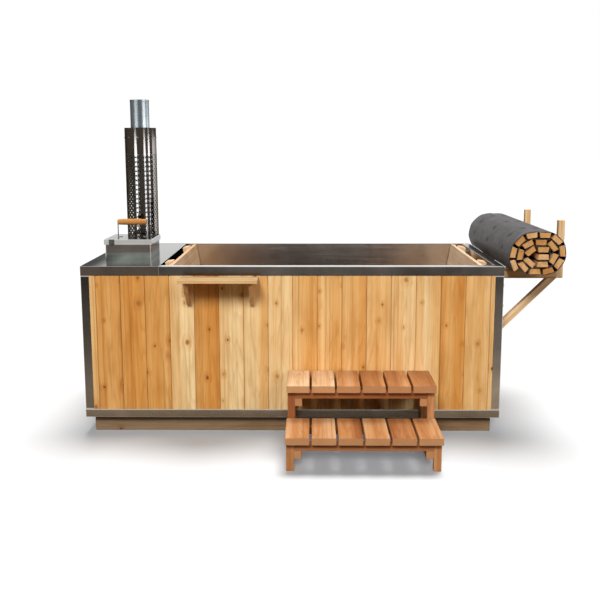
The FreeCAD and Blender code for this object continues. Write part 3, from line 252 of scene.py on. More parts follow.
def steel(name, colour, rough, brush=(300, 300, 4), spread=0.22, wavy=0.2, mottle=1.0, graze=1.0, levels=None,
          top=None, highlight_lines=(), shade=None):
    """Sheet metal with smudges and faint brushing.

    The colour can change by levels of height, as a painted reflection, and by a painted shade along X. The
    upper faces can take a painted reflection or highlight along X, and lines at given heights a painted
    highlight. A graze under 1, one number or stops along X, keeps flat angles of view dark; stops along X
    paint shade into the reflections.
    """
    material, tree, shader = blank(name)
    point = place(tree)
    axes = add(tree, "SeparateXYZ", {"Vector": point})
    shader.inputs["Metallic"].default_value = 1.0
    cloud = noise(tree, point, 5.0, 4.0, 0.6)
    # Painted reflection by height, where levels are given
    tint = by_level(tree, axes.outputs[2], levels) if levels else colour
    smudge = ramp(tree, cloud, [(0.3, 1 - spread), (0.5, 1.0), (0.72, 1 + spread)])
    tint = mix(tree, "MULTIPLY", 1.0, tint, smudge)
    run = add(tree, "MapRange", {"Value": axes.outputs[0], "From Min": -1.0, "From Max": 1.0}).outputs[0]
    # Painted shade along X
    if shade:
        tint = mix(tree, "MULTIPLY", 1.0, tint, ramp(tree, run, shade))
    # Painted reflection or highlight on the upward faces, by its colours along X
    if top:
        upward = ramp(tree, face_normal(tree)[2], [(0.75, 0.0), (0.95, 1.0)])
        tint = mix(tree, "MIX", upward, tint, ramp(tree, run, top))
    # Stops along X paint shade into the reflections
    if isinstance(graze, list):
        tree.links.new(ramp(tree, run, graze), shader.inputs["Specular Tint"])
    else:
        shader.inputs["Specular Tint"].default_value = (graze, graze, graze, 1)
    # Painted highlight lines at the given heights
    for line in highlight_lines:
        away = math_node(tree, "ABSOLUTE", math_node(tree, "SUBTRACT", axes.outputs[2], line))
        edge_highlight = ramp(tree, math_node(tree, "MULTIPLY", away, 100.0), [(0.3, 0.9), (0.55, 0.0)])
        tint = mix(tree, "MIX", edge_highlight, tint, EDGE_HIGHLIGHT_COLOUR)
    brushing = noise(tree, stretch(tree, point, brush), 1.0, 2.0)
    tint = mix(tree, "MULTIPLY", 0.35, tint, ramp(tree, brushing, [(0.3, 0.8), (0.65, 1.0)]))
    tree.links.new(tint, shader.inputs["Base Color"])
    wear = noise(tree, point, 11.0, 3.0, 0.6)
    mottled = math_node(tree, "MULTIPLY_ADD", wear, 0.6, brushing)
    smooth = max(0.03, rough - 0.06 * mottle)
    dull = rough + 0.08 * mottle
    gloss = add(tree, "MapRange", {"Value": mottled, "From Min": 0.4, "From Max": 1.2,
                                   "To Min": smooth, "To Max": dull})
    tree.links.new(gloss.outputs[0], shader.inputs["Roughness"])
    wave = noise(tree, point, 2.2, 1.0)
    relieve(tree, shader, math_node(tree, "MULTIPLY_ADD", brushing, 0.02, wave), wavy, 0.004)
    return material


def painted(name, colour, rough):
    """Satin paint or dip coat with dust and slight orange peel."""
    material, tree, shader = blank(name)
    point = place(tree)
    dust = noise(tree, point, 7.0, 5.0, 0.6)
    deep = tuple(c * 0.82 for c in colour)
    dusty = tuple(min(1, c * 1.15) for c in colour)
    tree.links.new(ramp(tree, dust, [(0.3, deep), (0.7, dusty)]), shader.inputs["Base Color"])
    tree.links.new(spread_over(tree, dust, rough - 0.08, rough + 0.14), shader.inputs["Roughness"])
    shader.inputs["Specular IOR Level"].default_value = 0.3
    relieve(tree, shader, noise(tree, point, 420.0, 2.0), 0.08, 0.0006)
    return material


VINYL = [(0.3, (0.026, 0.0235, 0.024)), (0.55, (0.058, 0.053, 0.053)), (0.75, (0.115, 0.107, 0.105))]
# Painted shade for the fixing dents
VINYL_DENT_SHADE = (0.004, 0.0038, 0.004)


def vinyl(name):
    """Charcoal coated cloth: fine leather-like grain, scuffs, and painted shade in the dents where fixings
    draw it in.
    """
    material, tree, shader = blank(name)
    point = place(tree)
    scuff = noise(tree, point, 16.0, 5.0, 0.65)
    drawn = add(tree, "Attribute", attribute_name="drawn").outputs["Fac"]
    # Painted shade: the cloth goes near black in the dents, by the drawn attribute
    tint = mix(tree, "MIX", drawn, ramp(tree, scuff, VINYL), VINYL_DENT_SHADE)
    tree.links.new(tint, shader.inputs["Base Color"])
    tree.links.new(spread_over(tree, scuff, 0.42, 0.62), shader.inputs["Roughness"])
    shader.inputs["Specular IOR Level"].default_value = 0.16
    pores = add(tree, "TexVoronoi", {"Vector": point, "Scale": 520.0}).outputs["Distance"]
    creases = noise(tree, stretch(tree, point, (34, 7, 34)), 1.0, 3.0)
    relieve(tree, shader, math_node(tree, "MULTIPLY_ADD", creases, 9.0, pores), 0.25, 0.0008)
    return material


def rope(name):
    """Braided glass rope of the lid seal."""
    material, tree, shader = blank(name)
    strands = add(tree, "TexWave", {"Vector": place(tree), "Scale": 60.0, "Distortion": 1.5},
                  bands_direction="DIAGONAL").outputs["Fac"]
    tint = ramp(tree, strands, [(0.2, (0.36, 0.34, 0.3)), (0.7, (0.68, 0.66, 0.6))])
    tree.links.new(tint, shader.inputs["Base Color"])
    shader.inputs["Roughness"].default_value = 0.9
    relieve(tree, shader, strands, 0.5, 0.001)
    return material


# Wood tints run from pale to dark sticks
CLADDING = [(0.0, (0.89, 0.64, 0.33)), (0.5, (0.77, 0.43, 0.15)), (1.0, (0.66, 0.29, 0.066))]
PLANED = [(0.0, (0.84, 0.59, 0.34)), (0.5, (0.72, 0.44, 0.19)), (1.0, (0.52, 0.23, 0.07))]
# Painted light: a greyer copy of the planed tones for the shelf's upper and lower faces, for how light falls
# there
SHELF_FACE_PAINTED_LIGHT = [(0.0, (0.65, 0.52, 0.35)), (0.5, (0.56, 0.40, 0.215)), (1.0, (0.42, 0.22, 0.085))]
CEDAR = [(0.0, (0.76, 0.51, 0.30)), (0.5, (0.50, 0.225, 0.085)), (1.0, (0.30, 0.105, 0.036))]
STAINED = [(0.0, (0.36, 0.25, 0.148)), (0.5, (0.29, 0.195, 0.112)), (1.0, (0.22, 0.144, 0.08))]
INNER = [(0.0, (0.86, 0.64, 0.43)), (0.5, (0.76, 0.51, 0.30)), (1.0, (0.60, 0.35, 0.16))]

# Steel tints: of the sheets, painted highlights and reflections on upper faces along X from the left end, and
# painted reflections by height
RIM = (0.074, 0.063, 0.055)
DECK = (0.085, 0.066, 0.052)
# Painted highlight: the upper faces of the front and back rims drawn near white
TOP_PAINTED_HIGHLIGHT = [(0.0, (0.74, 0.70, 0.68))]
# Painted highlight: a bright line along the right rim's inner edge, the rest of its top left dark
RIGHT_RIM_PAINTED_HIGHLIGHT = [(0.983, (0.74, 0.70, 0.68)), (0.9845, RIM)]
# Painted reflection on the lid's upper faces
LID_TOP_PAINTED_REFLECTION = [(0.0, (0.36, 0.35, 0.345))]
# Painted reflection on the deck's upper faces: dark at the left end, light from near the hatch on
DECK_TOP_PAINTED_REFLECTION = [(0.0, (0.06, 0.048, 0.042)), (0.025, (0.08, 0.068, 0.06)), (0.075, (0.46, 0.455, 0.44))]
# Painted shade in the deck's reflections, dark at the left end
DECK_GRAZE_PAINTED_SHADE = [(0.0, 0.05), (0.025, 0.12), (0.075, 0.8)]
# Painted reflection by height: lighter low down where the frame mirrors the floor, darker towards the rim
FRAME_PAINTED_REFLECTION = [(0.08, (0.20, 0.148, 0.098)), (0.22, (0.19, 0.15, 0.11)), (0.42, (0.10, 0.084, 0.067)),
                (0.74, (0.042, 0.035, 0.03))]
# Painted reflection by height on the hatch box: a pale greenish band low down, darker above
HATCH_PAINTED_REFLECTION = [(0.812, (0.31, 0.34, 0.31)), (0.832, (0.30, 0.33, 0.30)), (0.841, (0.25, 0.265, 0.24)),
                (0.853, (0.125, 0.102, 0.09)), (0.875, (0.10, 0.082, 0.073)), (0.892, (0.12, 0.10, 0.09))]
# Heights of painted highlight lines, at the gaps between the bottom rails and the posts and between the posts
# and the rim
EDGE_HIGHLIGHT_HEIGHTS = (0.1175, 0.7705)
# Painted shade along X: the posts darker at the left end and lighter at the right
POST_PAINTED_SHADE = [(0.0, 0.7), (0.5, 1.0), (1.0, 1.45)]

MATERIALS = {
    "boards": wood("boards_oiled", CLADDING, "z", (1, 0), 0.45, figure=0.34),
    "boards_end": wood("boards_oiled_ends", CLADDING, "z", (0, 1), 0.45, figure=0.34),
    "planed_x": wood("planed_along_x", PLANED, "x"),
    "planed_y": wood("planed_along_y", PLANED, "y"),
    "planed_z": wood("planed_along_z", PLANED, "z"),
    "planed_strut": wood("planed_along_strut", PLANED, "strut"),
    "shelf_face_painted_light": wood("painted_light_along_x", SHELF_FACE_PAINTED_LIGHT, "x"),
    "inner_y": wood("inner_panels", INNER, "y"),
    "inner_z": wood("inner_battens", INNER, "z"),
    "cedar_x": wood("cedar_along_x", CEDAR, "x", knots=0.08, figure=0.4),
    "cedar_y": wood("cedar_along_y", CEDAR, "y", knots=0.08, figure=0.45, ends=(0.50, 0.255, 0.12)),
    "cedar_z": wood("cedar_along_z", CEDAR, "z", knots=0.08, figure=0.4),
    # The rim sheets carry a painted highlight on their upper faces
    "rim": steel("rim_sheet", RIM, 0.17, (4, 300, 300), spread=0.4, top=RIGHT_RIM_PAINTED_HIGHLIGHT),
    "rim_painted_highlight": steel("rim_sheet_painted_highlight", RIM, 0.17, (4, 300, 300), spread=0.4, top=TOP_PAINTED_HIGHLIGHT),
    # The deck sheet carries a painted reflection on its upper faces and painted shade in its reflections
    "deck": steel("deck_sheet", DECK, 0.14, (4, 300, 300), graze=DECK_GRAZE_PAINTED_SHADE, top=DECK_TOP_PAINTED_REFLECTION),
    "frame": steel("frame_angle", RIM, 0.26, levels=FRAME_PAINTED_REFLECTION, highlight_lines=EDGE_HIGHLIGHT_HEIGHTS, shade=POST_PAINTED_SHADE),
    "rail": steel("frame_rail", RIM, 0.26, (5, 5, 300), levels=FRAME_PAINTED_REFLECTION, highlight_lines=EDGE_HIGHLIGHT_HEIGHTS),
    "basin": steel("basin_sheet", (0.80, 0.755, 0.72), 0.16, (4, 300, 300), spread=0.13, wavy=0.08),
    "hatch": steel("hatch_sheet", RIM, 0.16, (5, 5, 300), spread=0.35, graze=0.6, levels=HATCH_PAINTED_REFLECTION),
    # The lid sheet carries a painted reflection on its upper faces
    "lid": steel("lid_sheet", (0.43, 0.42, 0.395), 0.1, (5, 300, 300), graze=0.75, top=LID_TOP_PAINTED_REFLECTION),
    "flue": steel("flue_zinc", (0.118, 0.132, 0.140), 0.28, wavy=0.0, mottle=0.3, graze=0.3),
    "shield": steel("shield_sheet", (0.043, 0.034, 0.026), 0.1, wavy=0.0, mottle=0.2, graze=0.4),
    # Painted highlight: a bright sheet for the rounded folds, for the light they catch
    "edge_highlight": steel("painted_edge_highlight", (0.66, 0.64, 0.61), 0.2),
    "fixing": steel("fixing_steel", (0.40, 0.40, 0.40), 0.28),
    "catch": steel("catch_steel", (0.10, 0.10, 0.10), 0.3),
    "stove": steel("stove_plate", (0.05, 0.045, 0.042), 0.45),
    "iron": steel("grate_iron", (0.06, 0.057, 0.055), 0.6),
    "brass": steel("valve_brass", (0.66, 0.46, 0.17), 0.3),
    "plinth": wood("plinth_stained", STAINED, "x", knots=0.03, figure=0.3),
    "plinth_ends": wood("plinth_stained_ends", STAINED, "y", knots=0.03, figure=0.3),
    "lever": painted("lever_coat", (0.03, 0.03, 0.032), 0.45),
    "vinyl": vinyl("cover_vinyl"),
    "rope": rope("seal_rope"),
}


# Geometry helpers

def solid_of(node):
    """A node's solid as an editable mesh, its split corners joined and its flat faces whole."""
    bm = bmesh.new()
    bm.from_mesh(frame["nodes"][node].data)
    bmesh.ops.remove_doubles(bm, verts=bm.verts, dist=1e-6)
    bmesh.ops.dissolve_limit(bm, angle_limit=math.radians(0.5), verts=bm.verts, edges=bm.edges)
    return bm


def islands(bm):
    """The separate solids of a mesh, each as a list of its corners."""
    left = set(bm.verts)
    found = []
    while left:
        queue = [left.pop()]
        island = list(queue)
        while queue:
            for edge in queue.pop().link_edges:
                for vert in edge.verts:
                    if vert in left:
                        left.discard(vert)
                        queue.append(vert)
                        island.append(vert)
        found.append(island)
    return found


def finish_piece(bm, name, body, nodes, materials, angle=35.0):
    """Turn an edited mesh into a piece that rides on a body and stands for its nodes."""
    mesh = bpy.data.meshes.new(name)
    bm.to_mesh(mesh)
    bm.free()
    for material in materials:
        mesh.materials.append(MATERIALS[material])
    for polygon in mesh.polygons:
        polygon.use_smooth = True
    mesh.set_sharp_from_angle(angle=math.radians(angle))
    piece = bpy.data.objects.new(name, mesh)
    bpy.context.scene.collection.objects.link(piece)
    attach(piece, body)
    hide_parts(*nodes)
    return piece


def row_place(stick):
    """Where a stick comes in its row: mostly by X, with Y and Z to part those that are level."""
    return sum((vert.co for vert in stick), Vector()).dot(Vector((1, 0.37, 0.11))) / len(stick)


def grain(bm, tones, spread, rng):
    """Give each stick its tone and its own stretch of grain, in order along the row."""
    tone_layer = bm.verts.layers.float.new("tone")
    seed_layer = bm.verts.layers.float.new("seed")
    for i, stick in enumerate(sorted(islands(bm), key=row_place)):
        tone = tones[i % len(tones)] + rng.uniform(-spread, spread)
        seed = rng.random()
        for vert in stick:
            vert[tone_layer] = tone
            vert[seed_layer] = seed


def sharp_edges(bm):
    """The edges where two faces meet at a corner."""
    return [e for e in bm.edges if len(e.link_faces) == 2 and e.calc_face_angle(0) > math.radians(40)]


def bent_edges(bm, sheet=0.004):
    """The outer edges between two broad faces, where a sheet is folded and not cut."""
    broad = {face for face in bm.faces if face.calc_area() > sheet * face.calc_perimeter()}
    return [e for e in sharp_edges(bm) if e.is_convex and all(face in broad for face in e.link_faces)]


def ease(bm, edges, offset, segments, material=-1):
    """Round some edges off, with their own material if one is named by its slot."""
    bmesh.ops.bevel(bm, geom=edges, offset=offset, segments=segments, profile=0.5, affect="EDGES",
                    clamp_overlap=True, material=material)


def dress(node, material, edge=0.0, tones=None, spread=0.08, segments=2, edge_highlight=0.0):
    """A node with its edges eased, its grain set and its material on, and a painted highlight on its folds.
    """
    bm = solid_of(node)
    rng = random.Random(node)
    if tones:
        grain(bm, tones, spread, rng)
    if edge_highlight:
        # The rounded folds take the painted highlight material in the second slot
        ease(bm, bent_edges(bm), edge_highlight, 4, material=1)
    if edge:
        ease(bm, sharp_edges(bm), edge, segments)
    materials = [material, "edge_highlight"] if edge_highlight else [material]
    piece = finish_piece(bm, node + "_piece", BODY[node], [node], materials)
    if edge:
        piece.modifiers.new("flat_faces", "WEIGHTED_NORMAL").keep_sharp = True
    return piece


def coat(node, material):
    """Put a material on a node that keeps its own mesh."""
    slots = frame["nodes"][node].data.materials
    slots.clear()
    slots.append(MATERIALS[material])


def recoat(piece, material, axis):
    """Give another material to the faces that look along one axis."""
    piece.data.materials.append(MATERIALS[material])
    for face in piece.data.polygons:
        if abs(getattr(face.normal, axis)) > 0.9:
            face.material_index = 1


# Boards, frame and basin
FRONT_TONES = [0.2, 0.95, 0.8, 0.85, 0.05, 0.9, 0.1, 0.3, 0.15,
               0.55, 0.45, 0.55, 0.4, 0.25, 0.42, 0.85, 0.45, 0.5]
SIDE_TONES = [0.4, 0.7, 0.15, 0.8, 0.35, 0.6, 0.2, 0.85, 0.5]
dress("cladding_front", "boards", 0.0006, FRONT_TONES, 0.03)
dress("cladding_back", "boards", 0.0006, SIDE_TONES, 0.12)
dress("cladding_left", "boards_end", 0.0006, SIDE_TONES, 0.12)
dress("cladding_right", "boards_end", 0.0, SIDE_TONES, 0.12)
dress("rim_front", "rim_painted_highlight", 0.0005, edge_highlight=0.0025)
dress("rim_back", "rim_painted_highlight", 0.0005, edge_highlight=0.0025)
dress("rim_right", "rim", 0.0016, segments=3)
dress("stove_deck", "deck", 0.0005, edge_highlight=0.0025)
for node in ("bottom_rail_front", "bottom_rail_back", "bottom_rail_left", "bottom_rail_right"):
    dress(node, "rail", 0.0005, edge_highlight=0.002)
dress("corner_posts", "frame", 0.0005, edge_highlight=0.002)
coat("basin", "basin")
recoat(dress("plinth_skirt", "plinth", 0.0012, [0.5]), "plinth_ends", "x")
dress("plinth_bearers", "planed_y", 0.002, [0.6, 0.8])
dress("floor_panel", "planed_x", 0.002, [0.6])
dress("girts", "planed_x", 0.0, [0.5])

# Inner panels
for node, shade in (("stove_fence", 0.5), ("backrest", -0.3)):
    dress(node, "inner_y", 0.0015, [0.3 + shade, 0.5 + shade, 0.2 + shade, 0.6 + shade])
    dress(node + "_battens", "inner_z", 0.0015, [0.0, 0.1])
dress("panel_clips", "fixing", 0.0004)

# Stove and hatch
dress("firebox", "stove", 0.0015)
dress("firebox_feet", "stove", 0.0015)
dress("fire_grate", "iron", 0.0015)
dress("flue_collar", "stove", 0.001)
dress("hatch_box", "hatch", 0.0004, edge_highlight=0.0035)
dress("hatch_lid", "lid", 0.0004, edge_highlight=0.0025)
dress("lid_seal", "rope", 0.001)
for node in ("hinge_leaf_box", "hinge_leaf_lid", "hinge_pin"):
    dress(node, "fixing", 0.0003)
dress("lid_handle_brackets", "fixing", 0.0006)
dress("lid_handle_grip", "planed_x", 0.0015, [1.3], 0.0, segments=3)

# Shelf and rack
# The shelf's upper and lower faces take the painted light copy of its wood
recoat(dress("shelf_board", "planed_x", 0.0012, [0.57], 0.0), "shelf_face_painted_light", "z")
dress("shelf_brackets", "planed_z", 0.0008, [0.45], 0.05)
dress("shelf_screws", "fixing", 0.0003)
dress("rack_arms", "planed_x", 0.002, [0.4, 0.35])
dress("rack_posts", "planed_z", 0.002, [0.3, 0.2])
dress("rack_struts", "planed_strut", 0.002, [0.0, 0.05])
dress("rack_battens", "planed_z", 0.002, [0.4, 0.3])
dress("rack_bolts", "fixing", 0.0006)

# Steps
dress("step_upper_slats", "cedar_y", 0.0008, [-0.05, 0.08, 0.45, 0.7, 0.6, 0.75], 0.03)
dress("step_lower_slats", "cedar_y", 0.0008, [0.41, 0.51, 0.67, 0.53, 0.79, 0.53], 0.03)
dress("step_legs", "cedar_z", 0.0015, [0.6, 1.2, 0.9, 0.4, 0.45, 0.5])
dress("step_bearers", "cedar_y", 0.0015, [0.6, 0.7])
# Painted shade: a dark tone for the rails, which sit in the shade under the slats
dress("step_rails", "cedar_x", 0.0015, [0.95])

# Drain
for node in ("drain_fitting", "drain_valve_body", "drain_outlet", "drain_ball"):
    dress(node, "brass", 0.0006)
dress("drain_lever", "lever", 0.0012)

# Flue and its parts
dress("shield_spacers", "fixing", 0.0004)


def tube_of(node):
    """An upright tube's lowest and highest corners, its middle and its radius."""
    low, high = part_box(node)
    return low, high, (low + high) / 2, (high.x - low.x) / 2


def shield_piece():
    """The heat shield with its real rows of round holes, staggered from column to column.

    Each hole sits in a cell one column wide and four steps high, whose edge has as many corners as the hole.
    """
    low, high, centre, radius = tube_of("heat_shield")
    columns, cells, step = 44, 21, 0.006
    hole, sides, wall, turned = 0.0047, 16, 0.0012, 0.46
    bottom = low.z + 0.018
    top = bottom + cells * 4 * step
    plain = high.z - 0.06
    column_width = 2 * math.pi * radius / columns
    outer = [(1.0, j - 2) for j in range(4)] + [(1 - j * 0.25, 2) for j in range(4)]
    outer += [(0.0, 2 - j) for j in range(4)] + [(j * 0.25, -2) for j in range(4)]
    bm = bmesh.new()
    corners = {}

    def corner(column, z, inner):
        key = (round(column % columns, 5), round(z, 6), inner)
        if key not in corners:
            angle = 2 * math.pi * (column + turned) / columns
            reach = radius - wall if inner else radius
            spot = (centre.x + reach * math.cos(angle), centre.y + reach * math.sin(angle), z)
            corners[key] = bm.verts.new(spot)
        return corners[key]

    def patch(spots):
        bm.faces.new([corner(column, z, False) for column, z in spots])
        bm.faces.new([corner(column, z, True) for column, z in reversed(spots)])

    def edge(a, b):
        bm.faces.new([corner(*b, False), corner(*a, False), corner(*a, True), corner(*b, True)])

    for column in range(columns):
        shift = 2 * step if column % 2 else 0
        bands = [(low.z, bottom), (top, plain), (plain, high.z)]
        if shift:
            bands += [(z, z + step) for z in (bottom, bottom + step, top - 2 * step, top - step)]
        for z0, z1 in bands:
            patch([(column, z0), (column + 1, z0), (column + 1, z1), (column, z1)])
        edge((column + 1, low.z), (column, low.z))
        edge((column, high.z), (column + 1, high.z))
        for k in range(cells - (1 if shift else 0)):
            middle = bottom + shift + (4 * k + 2) * step
            rim, ring = [], []
            for j, (u, w) in enumerate(outer):
                turn = -math.pi / 4 + 2 * math.pi * j / sides
                rim.append((column + u, middle + w * step))
                aside = hole * math.cos(turn) / column_width
                ring.append((column + 0.5 + aside, middle + hole * math.sin(turn)))
            for j in range(sides):
                n = (j + 1) % sides
                patch([rim[j], rim[n], ring[n], ring[j]])
                edge(ring[j], ring[n])
    bmesh.ops.recalc_face_normals(bm, faces=bm.faces)
    return finish_piece(bm, "heat_shield_pierced", "tub", ["heat_shield"], ["shield"], 50.0)


def pipe_piece():
    """The flue: a drawn tube with a hemmed mouth and a folded seam down its back."""
    low, high, centre, outer = tube_of("flue_pipe")
    inner = outer - 0.0015
    drawn = outer - 0.0008
    sides, seam_side, seam_width, seam_rise = 120, 32.4, 2, 0.0008
    bm = bmesh.new()
    profile = [(inner, low.z), (drawn, low.z), (drawn, high.z - 0.012), (outer, high.z - 0.0105),
               (outer, high.z - 0.001), (outer - 0.0004, high.z), (inner + 0.0003, high.z),
               (inner, high.z - 0.0006)]
    rows = []
    for side in range(sides):
        angle = 2 * math.pi * side / sides
        folded = abs(side - seam_side) <= seam_width
        row = []
        for k, (reach, z) in enumerate(profile):
            lift = seam_rise if folded and k in (1, 2) else 0.0
            row.append(bm.verts.new((centre.x + (reach + lift) * math.cos(angle),
                                     centre.y + (reach + lift) * math.sin(angle), z)))
        rows.append(row)
    for side in range(sides):
        a, b = rows[side], rows[(side + 1) % sides]
        for k in range(len(profile)):
            n = (k + 1) % len(profile)
            bm.faces.new([a[k], b[k], b[n], a[n]])
    bmesh.ops.recalc_face_normals(bm, faces=bm.faces)
    return finish_piece(bm, "flue_pipe_tube", "tub", ["flue_pipe"], ["flue"], 20.0)


def screw_heads():
    """Domed heads round the shield's top, each with its washer."""
    low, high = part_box("shield_screws")
    _, _, centre, radius = tube_of("heat_shield")
    count, sides, sunk = 10, 16, 0.0002
    profile = [(0.0045, 0.0), (0.0045, 0.0007), (0.0036, 0.0008), (0.0034, 0.0016), (0.0024, 0.0023),
               (0.0012, 0.0025), (0.0011, 0.0014)]
    bm = bmesh.new()
    for i in range(count):
        angle = 2 * math.pi * (i + 0.5) / count
        out = Vector((math.cos(angle), math.sin(angle), 0))
        side = Vector((-out.y, out.x, 0))
        seat = Vector((centre.x, centre.y, (low.z + high.z) / 2)) + out * (radius - sunk)
        rows = []
        for reach, rise in profile:
            row = []
            for k in range(sides):
                turn = 2 * math.pi * k / sides
                across = side * (reach * math.cos(turn)) + Vector((0, 0, reach * math.sin(turn)))
                row.append(bm.verts.new(seat + out * rise + across))
            rows.append(row)
        for a, b in zip(rows, rows[1:]):
            for k in range(sides):
                j = (k + 1) % sides
                bm.faces.new([a[k], a[j], b[j], b[k]])
        bm.faces.new(rows[-1])
        bm.faces.new(rows[0][::-1])
    bmesh.ops.recalc_face_normals(bm, faces=bm.faces)
    return finish_piece(bm, "shield_screw_heads", "tub", ["shield_screws"], ["catch"], 40.0)


def catch_piece():
    """The lid's catch: a rounded plate with a turned boss and a short lever."""
    low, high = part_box("lid_catch")
    middle = (low + high) / 2
    bm = bmesh.new()

    def slab(corner, far, rounding):
        part = bmesh.ops.create_cube(bm, size=1.0)["verts"]
        bmesh.ops.scale(bm, vec=far - corner, verts=part)
        bmesh.ops.translate(bm, vec=(corner + far) / 2, verts=part)
        ease(bm, list({edge for vert in part for edge in vert.link_edges}), rounding, 3)

    def boss(segments, foot, face, depth, y):
        spot = Matrix.Translation((middle.x, y, middle.z + 0.003))
        bmesh.ops.create_cone(bm, cap_ends=True, segments=segments, radius1=foot, radius2=face, depth=depth,
                              matrix=spot @ Matrix.Rotation(math.pi / 2, 4, "X"))

    slab(Vector((low.x, high.y - 0.0022, low.z + 0.004)), high, 0.001)
    slab(Vector((middle.x - 0.006, low.y + 0.0012, low.z)),
         Vector((middle.x + 0.006, high.y - 0.001, middle.z + 0.004)), 0.0011)
    boss(24, 0.0105, 0.009, 0.0042, low.y + 0.0028)
    boss(20, 0.0045, 0.004, 0.0014, low.y + 0.0007)
    bmesh.ops.recalc_face_normals(bm, faces=bm.faces)
    return finish_piece(bm, "lid_catch_latch", "lid", ["lid_catch"], ["catch"], 40.0)


polished = bpy.data.collections.new("polished_shield")
for lit in (shield_piece(), screw_heads()):
    polished.objects.link(lit)
galvanised = bpy.data.collections.new("galvanised_flue")
galvanised.objects.link(pipe_piece())
catch_piece()


# Rolled cover

SLATS, PITCH, START = 21, 0.0605, 0.019
RUN, CORE, GROWTH = 0.042, 0.0173, 0.0336
SLAT_OUTER, SLAT_THICK = 0.052, 0.024
CLOTH, CLOTH_GAP, CLOTH_FULL = 0.0024, 0.0003, 0.0018


def roll_path(distance):
    """Point and heading at a distance along the roll: straight runs joined by growing half turns."""
    x, z, heading, straight, radius = 0.0, -CORE, 0.0, RUN / 2, CORE
    while True:
        way = math.cos(heading)
        if distance <= straight:
            return Vector((x + way * distance, 0, z)), heading
        x += way * straight
        distance -= straight
        if distance <= math.pi * radius:
            turned = distance / radius
            x += way * radius * math.sin(turned)
            z += way * radius * (1 - math.cos(turned))
            return Vector((x, 0, z)), heading + turned
        distance -= math.pi * radius
        z += 2 * way * radius
        heading += math.pi
        radius += GROWTH / 2
        straight = RUN


def cloth_line():
    """Knots of the cloth's section: over each slat's outer face, a little full in its middle."""
    knots, middles = [], []
    for i in range(SLATS):
        spot, heading = roll_path(START + i * PITCH)
        along = Vector((math.cos(heading), 0, math.sin(heading)))
        out = Vector((math.sin(heading), 0, -math.cos(heading)))
        face = spot + out * (SLAT_THICK / 2 + CLOTH_GAP)
        middles.append(len(knots) + 1)
        knots += [face - along * SLAT_OUTER / 2, face + out * CLOTH_FULL, face + along * SLAT_OUTER / 2]
    return knots, middles


def rounded(knots, steps):
    """A smooth line through the knots, with its share of the way between knots."""
    line = []
    for i in range(len(knots) - 1):
        a = knots[max(i - 1, 0)]
        b, c = knots[i], knots[i + 1]
        d = knots[min(i + 2, len(knots) - 1)]
        for k in range(steps):
            t = k / steps
            spot = 0.5 * (2 * b + (c - a) * t + (2 * a - 5 * b + 4 * c - d) * t ** 2
                          + (3 * b - a - 3 * c + d) * t ** 3)
            line.append((spot, i + t))
    line.append((knots[-1], len(knots) - 1.0))
    return line


def cover_pieces():
    """The vinyl cloth with its rows of fixing dents, and the slats inside the roll."""
    low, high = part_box("cover_cloth")
    knots, middles = cloth_line()
    line = rounded(knots, 5)
    reach_x = max(spot.x for spot, _ in line) + CLOTH
    reach_z = min(spot.z for spot, _ in line) - CLOTH
    seat = Vector((high.x - reach_x, 0, low.z - reach_z))
    length = high.y - low.y
    rows = 150
    first_dent, dent_gap = 0.183, 0.367
    dent_depth, dent_long, dent_wide = 0.0022, 0.026, 0.011
    lining = 0.0001
    tangents = []
    for i in range(len(line)):
        ahead = line[min(i + 1, len(line) - 1)][0]
        behind = line[max(i - 1, 0)][0]
        tangents.append((ahead - behind).normalized())
    bm = bmesh.new()
    drawn = bm.verts.layers.float.new("drawn")
    outside, inside = [], []
    for i, (spot, share) in enumerate(line):
        out = Vector((tangents[i].z, 0, -tangents[i].x))
        slat = min(middles, key=lambda m: abs(m - share))
        across = abs(share - slat) * SLAT_OUTER / 2
        ring_out, ring_in = [], []
        for row in range(rows + 1):
            y = length * row / rows
            nearest = first_dent + dent_gap * round((y - first_dent) / dent_gap)
            dent = math.exp(-(across / dent_wide) ** 2 - ((y - nearest) / dent_long) ** 2)
            base = seat + spot + Vector((0, low.y + y, 0))
            ring_out.append(bm.verts.new(base + out * (CLOTH - dent_depth * dent)))
            # How far the painted dent shade reaches at this corner
            ring_out[-1][drawn] = min(1.0, 1.3 * dent)
            ring_in.append(bm.verts.new(base + out * lining))
        outside.append(ring_out)
        inside.append(ring_in)
    last = len(line) - 1
    for i in range(last):
        for row in range(rows):
            n = row + 1
            bm.faces.new([outside[i][row], outside[i + 1][row], outside[i + 1][n], outside[i][n]])
            bm.faces.new([inside[i][n], inside[i + 1][n], inside[i + 1][row], inside[i][row]])
        for row in (0, rows):
            bm.faces.new([outside[i][row], inside[i][row], inside[i + 1][row], outside[i + 1][row]])
    for i in (0, last):
        for row in range(rows):
            bm.faces.new([outside[i][row], outside[i][row + 1], inside[i][row + 1], inside[i][row]])
    bmesh.ops.recalc_face_normals(bm, faces=bm.faces)
    cloth = finish_piece(bm, "cover_cloth_rolled", "cover", ["cover_cloth"], ["vinyl"], 50.0)
    dress("cover_slats", "planed_y", 0.0008, [0.1, 0.5, 0.3, 0.7, 0.2, 0.6], 0.15)


cover_pieces()


# Stage: floor, light and camera

FILL = (0.048, 0.031, 0.013)
FLOOR_BOUNCE = (0.11, 0.078, 0.042)
FLOOR_SEEN, FLOOR_GLOW = 0.62, (0.85, 1.0, 1.15, 1)
FLOOR_REACH, FLOOR_DROP = 60.0, 0.0006
FLUE_X, FLUE_Y, STRIP_AWAY = -0.815, 0.15, 5.0
COOL, PLAIN = (0.76, 0.94, 1.24), (1, 1, 1)
LOWER, WHOLE = (0.27, 1.44), (0.27, 1.87)
EYE, EYE_TURNS, LENS = (0.0962, -4.7152, 1.3933), (-0.7693, 9.9398, -0.0914), 54.24


